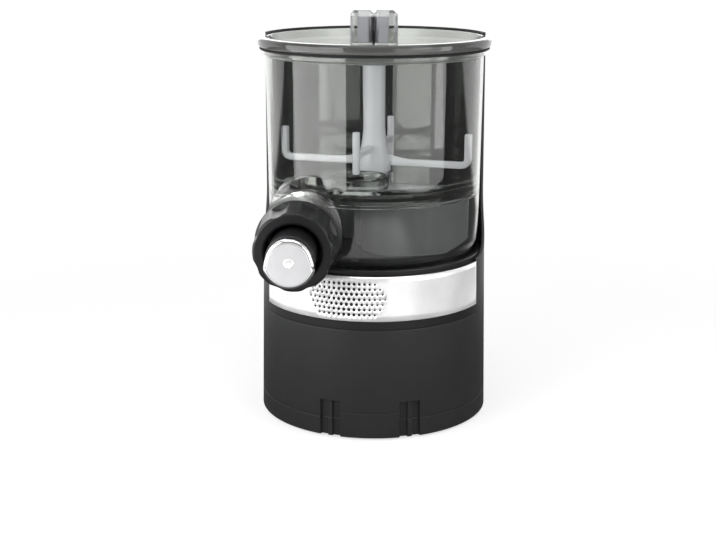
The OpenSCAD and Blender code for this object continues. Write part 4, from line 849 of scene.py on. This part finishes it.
# %% Outside and inside of the bowl
bowl_out = rounded([(0, SEAT, 0), (bowl_radius(SEAT), SEAT, 15.5), (104.35, 350.6, 1.2), (107.6, 351.6, 0.8),
                    (108.1, 353.6, 1.0),
                    (107.9, 355.9, 0.7), (100.9, 355.9, 0.8), (100.9, 360, 0), (0, 360, 0)], closed=False, steps=8)
bowl_out[:, 1] = np.minimum(bowl_out[:, 1], 356)
bowl_in = rounded([(0, 187.9, 0), (13.0, 187.9, 0), (13.0, 186, 0), (15.5, 186, 0.7), (15.6, FLOOR, 2.0),
                   (99.9, FLOOR, 13.0),
                   (100.5, 219.2, 0.3), (97.4, 219.4, 0.5), (97.4, 221.8, 0.5), (100.6, 222.0, 0.3), (101.8, 358, 0),
                   (0, 358, 0)], closed=False, steps=8)
neck_tool = rounded([(0, 150, 0), (13.0, 150, 0), (13.0, 188.5, 0), (0, 188.5, 0)], closed=False)
bowl = solid_of("clear_bowl", *lathe(bowl_out, 160, closed=False, shape=front_only(104.4)))


def horn(inset, back, front):
    """Loft along the nozzle from the bowl out to the spout. Centre and radius go from the horn's mouth to the
    spout's end by a smooth step of the depth: c = mouth (1 - s), r = r_mouth + (r_spout - r_mouth) s."""
    depth = np.concatenate([[back], np.linspace(WALL_FRONT + 12, NUT_BACK - 3 - inset, 14), [front]])
    s = np.clip((depth - WALL_FRONT - 15 + inset) / (NUT_BACK - 2 - WALL_FRONT - 15), 0, 1)
    s = s + 0.10 * np.sin(2 * math.pi * s)
    big, small = 42.0 - inset, (30.5 if inset == 0 else 23.0)
    turn = np.arange(96) * 2 * math.pi / 96
    centre = MOUTH[None] * (1 - s)[:, None]
    r = big + (small - big) * s
    ring = centre[:, None] + r[:, None, None] * np.stack([np.cos(turn), np.sin(turn)], -1)[None]
    points = np.concatenate([ring, np.broadcast_to(depth[:, None, None], ring.shape[:2] + (1,))], -1)
    points = np.concatenate([np.broadcast_to(points[:1].mean(1, keepdims=True), points[:1].shape), points,
                             np.broadcast_to(points[-1:].mean(1, keepdims=True), points[-1:].shape)])
    return facing_front(points.reshape(-1, 3), NOZZLE), grid_faces(len(points), 96, False, True)


horn_solid = solid_of("horn", *horn(0, 32, SPOUT_FRONT))
combine(horn_solid,
        solid_of("seat room", *lathe([(0, 100), (109.5, 100), (109.5, 163.3), (0, 163.3)], 128, closed=False)),
        "DIFFERENCE")
combine(bowl, horn_solid, "UNION")
combine(bowl, solid_of("chamber", *lathe(bowl_in, 160, closed=False)), "DIFFERENCE")
throat = solid_of("throat", *horn(3.0, 34, SPOUT_FRONT + 4))
combine(throat, solid_of("above ledge", *lathe([(0, 216), (220, 216), (220, 300), (0, 300)], 32, closed=False)),
        "DIFFERENCE")
combine(throat, solid_of("below floor", *lathe([(0, 100), (220, 100), (220, FLOOR), (0, FLOOR)], 32, closed=False)),
        "DIFFERENCE")
combine(bowl, throat, "DIFFERENCE")
combine(bowl, solid_of("neck bore", *lathe(neck_tool, 48, closed=False)), "DIFFERENCE")
bowl_mesh = take_mesh(bowl, 28)
add_piece("clear_bowl", bowl_mesh, "bowl", "smoke", "mixing_bowl")
box = np.array([v.co for v in bowl_mesh.vertices])
print("bowl box, mm:", (box.min(0) * 1000).round(1), (box.max(0) * 1000).round(1))

# %% Bayonet lugs on the spout
def lug(turn):
    """A short curved block on the spout: a grid in angle and depth, thick in radius."""
    a = np.radians(turn) + np.linspace(-9 / 31, 9 / 31, 9)
    section = np.array([(30.3, 0.4), (30.3, 2.6), (32.0, 2.6), (32.6, 2.2), (32.6, 0.8), (32.0, 0.4)])
    r, t = np.meshgrid(section[:, 0], a, indexing="ij")
    d = np.broadcast_to(section[:, 1:], r.shape) + NUT_BACK + 3.3 - 0.1
    points = np.stack([r * np.cos(t), r * np.sin(t), d], -1)
    ends = [points[:, k].mean(0) for k in (0, -1)]
    points = np.concatenate([np.broadcast_to(ends[0], (6, 1, 3)), points, np.broadcast_to(ends[1], (6, 1, 3))], 1)
    return facing_front(points.reshape(-1, 3), NOZZLE), grid_faces(6, 11, True, False)[:, ::-1]


add_piece("spout_lugs", mesh_of("spout_lugs", *join(*[lug(a) for a in (0, 120, 240)])), "bowl", "smoke")

# %% Kneading deck with its feed opening
deck_plate = solid_of("clear_deck",
                      *lathe(rounded([(0, 232.0, 0), (97.6, 232.0, 0.6), (97.6, 222.2, 0.4), (100.1, 222.2, 0.6),
                                                    (100.4, 235.0, 1.2), (100.2, 237.0, 0.6), (97.9, 237.0, 0.6),
                                                    (97.3, 235.0, 0.5), (0, 235.0, 0)], closed=False), 160,
                                                    closed=False))
feed_at = (-12.0, -47.0, 0)
collar = lathe(rounded([(0, 232.1, 0), (27.4, 232.1, 0), (27.4, 239.8, 1.2), (25.9, 241.0, 0.9), (0, 241.0, 0)],
                       closed=False), 72, closed=False, place=feed_at)
combine(deck_plate, solid_of("collar", *collar), "UNION")
mouth = rounded([(0, 225, 0), (24.6, 225, 0), (24.6, 238.6, 1.5), (25.6, 243, 0.2), (0, 243, 0)], closed=False)
combine(deck_plate, solid_of("mouth", *lathe(mouth, 72, closed=False, place=feed_at)), "DIFFERENCE")
combine(deck_plate, solid_of("hub hole", *lathe([(0, 225), (14.5, 225), (14.5, 245), (0, 245)], 64, closed=False)),
        "DIFFERENCE")
add_piece("clear_kneading_deck", take_mesh(deck_plate, 30), "bowl", "smoke", "kneading_deck")

# %% [markdown]
# ## Lid and knob
# The lid is one clear moulding with a deep recess. Its flange stands out over the
# bowl's rim in front and is cut back where the shell stands behind it. The knob
# is a thick clear block, grooved down its front and over its top. A dark ring
# under the flange draws the dark line that is seen there.

# %% Lid
lid_profile = rounded([(0, 356.6, 0), (98.9, 356.6, 0.8), (99.1, 350.3, 0.5), (101.2, 350.2, 0.6), (101.3, 356.35, 0.3),
                       (104.6, 356.35, 0.3), (104.7, 358.5, 0.3), (110.6, 358.6, 0.8), (111.45, 361.5, 1.5),
                       (111.4, 365.4, 1.2), (109.9, 367.4, 1.4),
                       (103.4, 367.45, 1.3), (101.1, 358.6, 2.2), (0, 358.6, 0)], closed=False)
lid = mesh_of("clear_lid", *lathe(lid_profile, 192, closed=False, shape=front_only(103.9)))
add_piece("clear_lid", lid, "lid_set", "smoke", "lid", finish_as=LID_FINISH)

# %% Dark ring under the front of the flange
turns = np.radians(np.linspace(-84, 84, 120))
section = rounded([(104.9, 356.06, 0.4), (109.9, 356.06, 0.6), (109.9, 358.3, 0.6), (104.9, 358.3, 0.4)], steps=4)
strip = np.stack([section[:, 0] * np.sin(turns)[:, None], -section[:, 0] * np.cos(turns)[:, None],
                  np.broadcast_to(section[:, 1], (120, len(section)))], -1)
strip = np.concatenate([np.broadcast_to(strip[0].mean(0), (1, *strip[0].shape)), strip,
                        np.broadcast_to(strip[-1].mean(0), (1, *strip[0].shape))])
dark_ring = mesh_of("flange_dark_ring", strip.reshape(-1, 3), grid_faces(len(strip), len(section), False, True))
add_piece("flange_dark_ring", dark_ring, "lid_set", "rubber", "lid")

# %% Knob
knob_outline = rounded([(22.5, -21, 6.5), (22.5, 21, 6.5), (3.4, 21, 1.2), (0, 17.6, 0.8), (-3.4, 21, 1.2),
                        (-22.5, 21, 6.5),
                        (-22.5, -21, 6.5), (-3.4, -21, 1.2), (0, -17.6, 0.8), (3.4, -21, 1.2)], steps=8)
levels = np.array([(358.65, 0.9), (358.8, 0.35), (359.3, 0.0), (362, 0), (388.5, 0.0), (390.6, 0.25), (391.9, 0.9),
                   (392.6, 1.8), (392.85, 3.0)])


def loft(outline, levels):
    """Stacks an outline at heights h, pulled in by d: (x (1 - d / half width), y (1 - d / half depth), h), with
    both ends closed."""
    half = np.abs(outline).max(0)
    rings = [np.column_stack([outline * (1 - d / half), np.full(len(outline), h)]) for h, d in levels]
    rings = [np.tile(rings[0].mean(0), (len(outline), 1)), *rings, np.tile(rings[-1].mean(0), (len(outline), 1))]
    return np.concatenate(rings), grid_faces(len(rings), len(outline), False, True)


def prism(outline, start, end, axis):
    """A closed prism over an outline, between start and end along axis 0, 1 or 2."""
    outline = np.asarray(outline, float)
    cap = outline.mean(0, keepdims=True).repeat(len(outline), 0)
    rings = [np.insert(o, axis, at, axis=1) for o, at in ((cap, start), (outline, start), (outline, end), (cap, end))]
    return np.concatenate(rings), grid_faces(4, len(outline), False, True)


knob = solid_of("knob", *loft(knob_outline, levels))
combine(knob,
        solid_of("top groove",
                 *prism([(-3.5, 393.2), (0, 389.6), (3.5, 393.2), (3.5, 396), (-3.5, 396)], -30, 30, 1)), "DIFFERENCE")
for s in (-1, 1):
    slope = [(s * 22.6, 388.6), (s * 18.2, 393.2), (s * 24, 396), (s * 26, 389)]
    combine(knob, solid_of("shoulder", *prism(slope, -30, 30, 1)), "DIFFERENCE")
add_piece("clear_knob", take_mesh(knob, 25), "lid_set", "smoke", "lid_knob")

# %% Painted highlights and painted shade inside the knob: pale cores and a dark rib
def block(x0, x1, y0, y1, z0, z1, corner):
    """A box with rounded upright edges: a rounded outline lofted with its ends drawn in by the corner."""
    outline = rounded([(x1, y0, corner), (x1, y1, corner), (x0, y1, corner), (x0, y0, corner)], steps=6)
    middle, half = outline.mean(0), np.abs(outline - outline.mean(0)).max(0)
    levels = [(z0, 1.0), (z0, 0.3), (z0 + 0.6, 0.0), (z1 - 0.6, 0.0), (z1, 0.3), (z1, 1.0)]
    rings = [np.column_stack([middle + (outline - middle) * (1 - np.minimum(d, 1) * (1 if d == 1 else corner / half)),
                              np.full(len(outline), h)])
             for h, d in levels]
    return np.concatenate(rings), grid_faces(len(rings), len(outline), False, True)


# The two pale cores paint the knob's light bands, and the black rib paints its dark middle strip.
highlight_cores = mesh_of("knob_highlight_cores",
                *join(block(-15.8, -4.6, -20.9, 20.9, 362.0, 386.8, 2.2),
                      block(3.6, 13.6, -20.9, 20.9, 362.0, 386.8, 2.2)))
add_piece("knob_highlight_cores", highlight_cores, "lid_set", "frosted", "lid_knob")
add_piece("knob_shade_rib", mesh_of("knob_shade_rib", *block(-2.6, 1.8, -15.5, 15.5, 360.2, 386.0, 0.9)), "lid_set",
          "black_plastic", "lid_knob")

# %% Bush under the lid that steadies the paddle's stem
bush = rounded([(6.1, 346.1, 0.4), (18.6, 346.1, 0.6), (20.4, 347.4, 0.7), (20.4, 349.6, 0.4), (19.2, 350.2, 0.4),
                (19.2, 352.0, 0.4),
                (20.4, 352.6, 0.4), (20.4, 356.5, 0.3), (2.2, 356.5, 0.2), (2.2, 355.4, 0.2), (6.1, 355.3, 0.2)])
add_piece("stem_bush", mesh_of("stem_bush", *lathe(bush, 96)), "lid_set", "black_plastic", "lid_bush")

# %% [markdown]
# ## Paddle and press rotor
# Both are milky plastic. The paddle is a stem with a flared foot and four arms
# that are swept bars. The rotor under the deck has three blades that curl out
# from its hub and wipe the dough towards the horn.

# %% Swept bars
def bar(path, width, depth, turn, square=4.0, steps=20):
    """A bar swept along a path (distance, height) in the upright plane at turn degrees. Its section is a rounded
    square: (w sign(cos) |cos|^(2/n), d sign(sin) |sin|^(2/n)). The ends are closed with two shrinking rings."""
    path = np.asarray(path, float)
    step = np.gradient(path, axis=0)
    along = step / np.linalg.norm(step, axis=1, keepdims=True)
    t = np.arange(steps) * 2 * math.pi / steps
    c, s = np.cos(t), np.sin(t)
    across = width / 2 * np.sign(c) * np.abs(c) ** (2 / square)
    up = depth / 2 * np.sign(s) * np.abs(s) ** (2 / square)
    spots = np.concatenate([path[:1], path[:1], path, path[-1:], path[-1:]])
    heads = np.concatenate([along[:1], along[:1], along, along[-1:], along[-1:]])
    size = np.concatenate([[0, 0.75], np.ones(len(path)), [0.75, 0]])
    spots[2] += along[0] * 1.0
    spots[-3] -= along[-1] * 1.0
    normal = np.stack([-heads[:, 1], heads[:, 0]], -1)
    flat = spots[:, None] + normal[:, None] * (up * size[:, None])[..., None]
    side = across * size[:, None]
    a = math.radians(turn)
    points = np.stack([flat[..., 0] * math.cos(a) - side * math.sin(a), flat[..., 0] * math.sin(a) + side * math.cos(a),
                       flat[..., 1]], -1)
    return points.reshape(-1, 3), grid_faces(len(spots), steps, False, True)


def bend(corners, steps=8):
    """A path with rounded corners and no long gaps between its points."""
    path = rounded([(*c[:2], c[2] if len(c) > 2 else 0) for c in corners], steps, closed=False)
    out = [path[:1]]
    for a, b in zip(path[:-1], path[1:]):
        n = max(1, int(np.linalg.norm(b - a) // 8))
        out.append(a + (b - a) * (np.arange(1, n + 1) / n)[:, None])
    return np.concatenate(out)


# %% Paddle
stem = rounded([(9.5, 237.7, 0.3), (16.2, 237.7, 0.8), (16.6, 239, 0.8), (16.4, 247.5, 5), (12.6, 262, 9),
                (10.6, 278, 9), (10.5, 336, 4),
                (10.7, 341.2, 1.5), (15.2, 342.4, 0.6), (15.5, 345.0, 0.6), (14.9, 345.7, 0.5), (6.0, 345.8, 0.3),
                (5.9, 352.9, 0.6), (0, 352.9, 0), (0, 251, 0), (9.5, 250, 0.5)], steps=7)
arms = [bar(bend([(8, 247), (93.0, 247, 7), (93.0, 277.3)]), 6.8, 6.8, a) for a in (165, 345)]
arms += [bar(bend([(8, 261), (57.5, 261)]), 6.6, 6.6, a) for a in (75, 255)]
arms += [bar(bend([(58, 243.6), (58, 283.3)]), 6.8, 6.8, a, square=2.4) for a in (75, 255)]
arms += [bar(bend([(9, 253.6, 0), (24, 248.4, 8), (40, 247.2)]), 4.5, 6.0, a) for a in (165, 345)]
paddle = mesh_of("kneading_paddle", *join(lathe(stem, 96), *arms), sharp=45)
add_piece("kneading_paddle", paddle, "mixer", "frosted", "paddle")

# %% Press rotor
def blade(turn):
    """A rotor blade: a rounded rectangle section carried out along a spiral, centre line angle = turn + 105 (r -
    r0)/(r1 - r0), its foot lifting with the bowl's corner."""
    r = np.concatenate([np.linspace(17.5, 93.2, 40), [94.0, 94.5]])
    a = np.radians(turn + 105 * (r - 19.3) / (94.7 - 19.3))
    thick = np.concatenate([np.full(40, 2.95), [2.4, 1.2]])
    foot = 164.3 + np.maximum(0, r - 82.7)
    box = rounded([(1, 0, 0.16), (1, 1, 0.3), (-1, 1, 0.3), (-1, 0, 0.16)], 4)
    n = len(box)
    side = thick[:, None] * box[:, 0]
    z = foot[:, None] + (217.3 - foot)[:, None] * np.clip(box[:, 1], 0, 1)
    points = np.stack([r[:, None] * np.cos(a)[:, None] - side * np.sin(a)[:, None],
                       r[:, None] * np.sin(a)[:, None] + side * np.cos(a)[:, None], z], -1)
    ends = [np.broadcast_to(points[k].mean(0), (1, n, 3)) for k in (0, -1)]
    points = np.concatenate([ends[0], points, ends[1]])
    return points.reshape(-1, 3), grid_faces(len(points), n, False, True)


hub = rounded([(16.0, 164.3, 0.4), (19.0, 164.3, 0.8), (19.2, 170, 1), (19.0, 214, 3), (18.4, 218.4, 1.2),
               (14.2, 219.2, 1), (13.7, 234, 3),
               (13.6, 237.4, 0.6), (9.2, 237.5, 0.3), (9.0, 248.8, 0.8), (0, 249.3, 0), (0, 204, 0), (9.8, 203, 0.5),
               (16.0, 186.5, 0.5)], steps=6)
rotor = mesh_of("press_rotor_moulding", *join(lathe(hub, 96), *[blade(a) for a in (0, 120, 240)]), sharp=40)
add_piece("press_rotor_moulding", rotor, "mixer", "frosted", "press_rotor")

# %% [markdown]
# ## Nozzle nut, sleeve and hood
# The nut is a turned ring with eight scoops for the fingers. Each scoop is part
# of a round cutter beside the nut, so its depth at every angle follows from that
# circle. The chrome hood is a loft of one outline: an arch above and a wide arc
# below, meeting in two soft corners.

# %% Nut
def scoops(r, a, h):
    """The outside falls to the cutter's circle, R cos(t) - sqrt(s^2 - R^2 sin^2(t)), t being the angle from the
    nearest scoop; a soft minimum rounds the ridge. The scoops run out near the back flange."""
    t = a % (math.pi / 4) - math.pi / 8
    big, cutter = 49.4, 15.0
    inside = np.maximum(cutter ** 2 - (big * np.sin(t)) ** 2, 0)
    scoop = np.where(inside > 0, big * np.cos(t) - np.sqrt(inside), 60) + 6 * (1 - step_up(h, 7.4, 2.4))
    soft = -0.45 * np.log(np.exp(-np.minimum(r, 80) / 0.45) + np.exp(-np.minimum(scoop, 80) / 0.45))
    return np.where(r > 33.5, np.minimum(soft, r), r)


nut_profile = rounded([(30.9, 0.1, 0.5), (38.5, 0.1, 1.4), (38.5, 5.2, 1.2), (38.2, 6.4, 0.3), (38.1, 7.4, 0),
                       (38.0, 8.6, 0), (37.6, 15, 0),
                       (37.0, 26, 0), (36.4, 37, 0), (36.1, 42.2, 1), (34.8, 44.7, 2.4), (26.8, 44.9, 1.4),
                       (25.1, 43.5, 1.6),
                       (25.1, 13.3, 0.5), (32.9, 13.3, 0.5), (32.9, 3.0, 0.3), (30.9, 3.0, 0.3)], steps=5)
points, faces = lathe(nut_profile, 256, shape=scoops)
nut = mesh_of("ribbed_nut", facing_front(points, (NOZZLE[0], -NUT_BACK, NOZZLE[2])), faces, sharp=50)
add_piece("ribbed_nut", nut, "nut", "black_plastic", "nozzle_nut")

# %% Die sleeve
sleeve = rounded([(19.1, 113.97, 0.5), (30.4, 113.97, 0.5), (30.4, 117.9, 0.6), (22.6, 118.0, 0.8), (21.75, 120, 1.2),
                  (21.75, 176.6, 0.6), (20.55, 177.0, 0.3), (20.55, 172.1, 0.2), (19.1, 172.0, 0.2)])
points, faces = lathe(sleeve, 96)
add_piece("die_tube", mesh_of("die_tube", facing_front(points, NOZZLE), faces), "die_set", "black_plastic",
          "die_sleeve")

# %% Hood outline
def hood_outline(inset=0.0, count=120):
    """Distance from the middle at each angle: an arc of radius 22.9 below, a little fuller in its corners, that
    narrows between 28 degrees below and 19 degrees above the middle to 20.4, and rises to 21.2 at the top: 22.9
    + 0.35 e^(-((t + 15) / 13)^2) - 2.5 step(t) + 0.8 sin^2(t) step(t)."""
    t = np.arange(count) * 2 * math.pi / count - math.pi / 2
    high = np.degrees(np.arcsin(np.sin(t)))
    lift = step_up(high, -4.5, 47.0)
    r = 22.9 + 0.35 * np.exp(-((high + 15) / 13) ** 2) - 2.5 * lift + 0.8 * lift * np.maximum(np.sin(t), 0) ** 2 - inset
    return np.stack([r * np.cos(t), r * np.sin(t)], -1)


def sheath(levels, closed=True):
    """Stacks hood outlines (depth, inset) into a closed band."""
    rings = np.stack([np.column_stack([hood_outline(i), np.full(120, d)]) for d, i in levels])
    return rings.reshape(-1, 3), grid_faces(len(levels), 120, closed, True)


rim = [(174.1, 0.0), (184.4, 0.0), (185.9, 0.25), (187.0, 0.8), (187.7, 1.7), (187.95, 2.7), (187.7, 3.5),
       (187.0, 3.9), (186.2, 3.9), (185.6, 3.2), (184.4, 1.5), (174.1, 1.2)]
points, faces = sheath(rim)
hood = solid_of("hood", facing_front(points, NOZZLE), faces)
slot_cut = prism([(-81, 150), (-53, 150), (-53, 178), (-81, 178)], -185.2, -178.9, 1)
combine(hood, solid_of("outlet", *slot_cut), "DIFFERENCE")
add_piece("chrome_hood", take_mesh(hood, 35), "die_set", "chrome", "nozzle_hood")

# %% Satin face with its rivet
outline = hood_outline(3.0)
outline[:, 1] -= 0.55 * step_up(outline[:, 1], 0.0, 30.0) + 0.25
rings = [(186.9, 0.5), (186.95, 0.0), (187.75, 0.0), (187.85, 0.35), (187.9, 4.5), (187.95, 9.0)]
stack = np.stack([np.column_stack([outline * (1 - d / 20), np.full(120, h)]) for h, d in rings])
caps = [np.broadcast_to(stack[k].mean(0), (1, 120, 3)) for k in (0, -1)]
stack = np.concatenate([caps[0], stack, caps[1]])
face = mesh_of("hood_plate", facing_front(stack.reshape(-1, 3), NOZZLE), grid_faces(len(stack), 120, False, True))
add_piece("hood_plate", face, "die_set", "satin_steel", "hood_face")
rivet = rounded([(0, 177.2, 0), (2.4, 177.2, 0.3), (2.4, 186.8, 0.2), (4.4, 187.6, 0.3), (4.6, 188.05, 0.3),
                 (3.9, 188.5, 0.6), (0, 188.8, 0)], closed=False)
points, faces = lathe(rivet, 48, closed=False)
add_piece("domed_rivet", mesh_of("domed_rivet", facing_front(points, NOZZLE), faces), "die_set", "band_steel",
          "hood_rivet")

# %% Die disc, seen only from below through the outlet
disc = rounded([(0, 172.15, 0), (19.6, 172.15, 0.3), (19.6, 173.9, 0.3), (2.7, 173.9, 0.2), (2.7, 173.2, 0.1),
                (0, 173.2, 0)], closed=False)
points, faces = lathe(disc, 64, closed=False)
die = solid_of("die", facing_front(points, NOZZLE), faces)
for column in range(-2, 3):
    for row in range(-2, 3):
        if 0 < column ** 2 + row ** 2 < 7:
            t = np.arange(16) * math.pi / 8
            hole = np.column_stack([NOZZLE[0] + column * 6.4 + 1.6 * np.cos(t),
                                    NOZZLE[2] + row * 6.4 + 1.6 * np.sin(t)])
            combine(die, solid_of("hole", *prism(hole, -175, -171, 1)), "DIFFERENCE")
add_piece("die_disc", take_mesh(die), "die_set", "bronze", "die_plate")
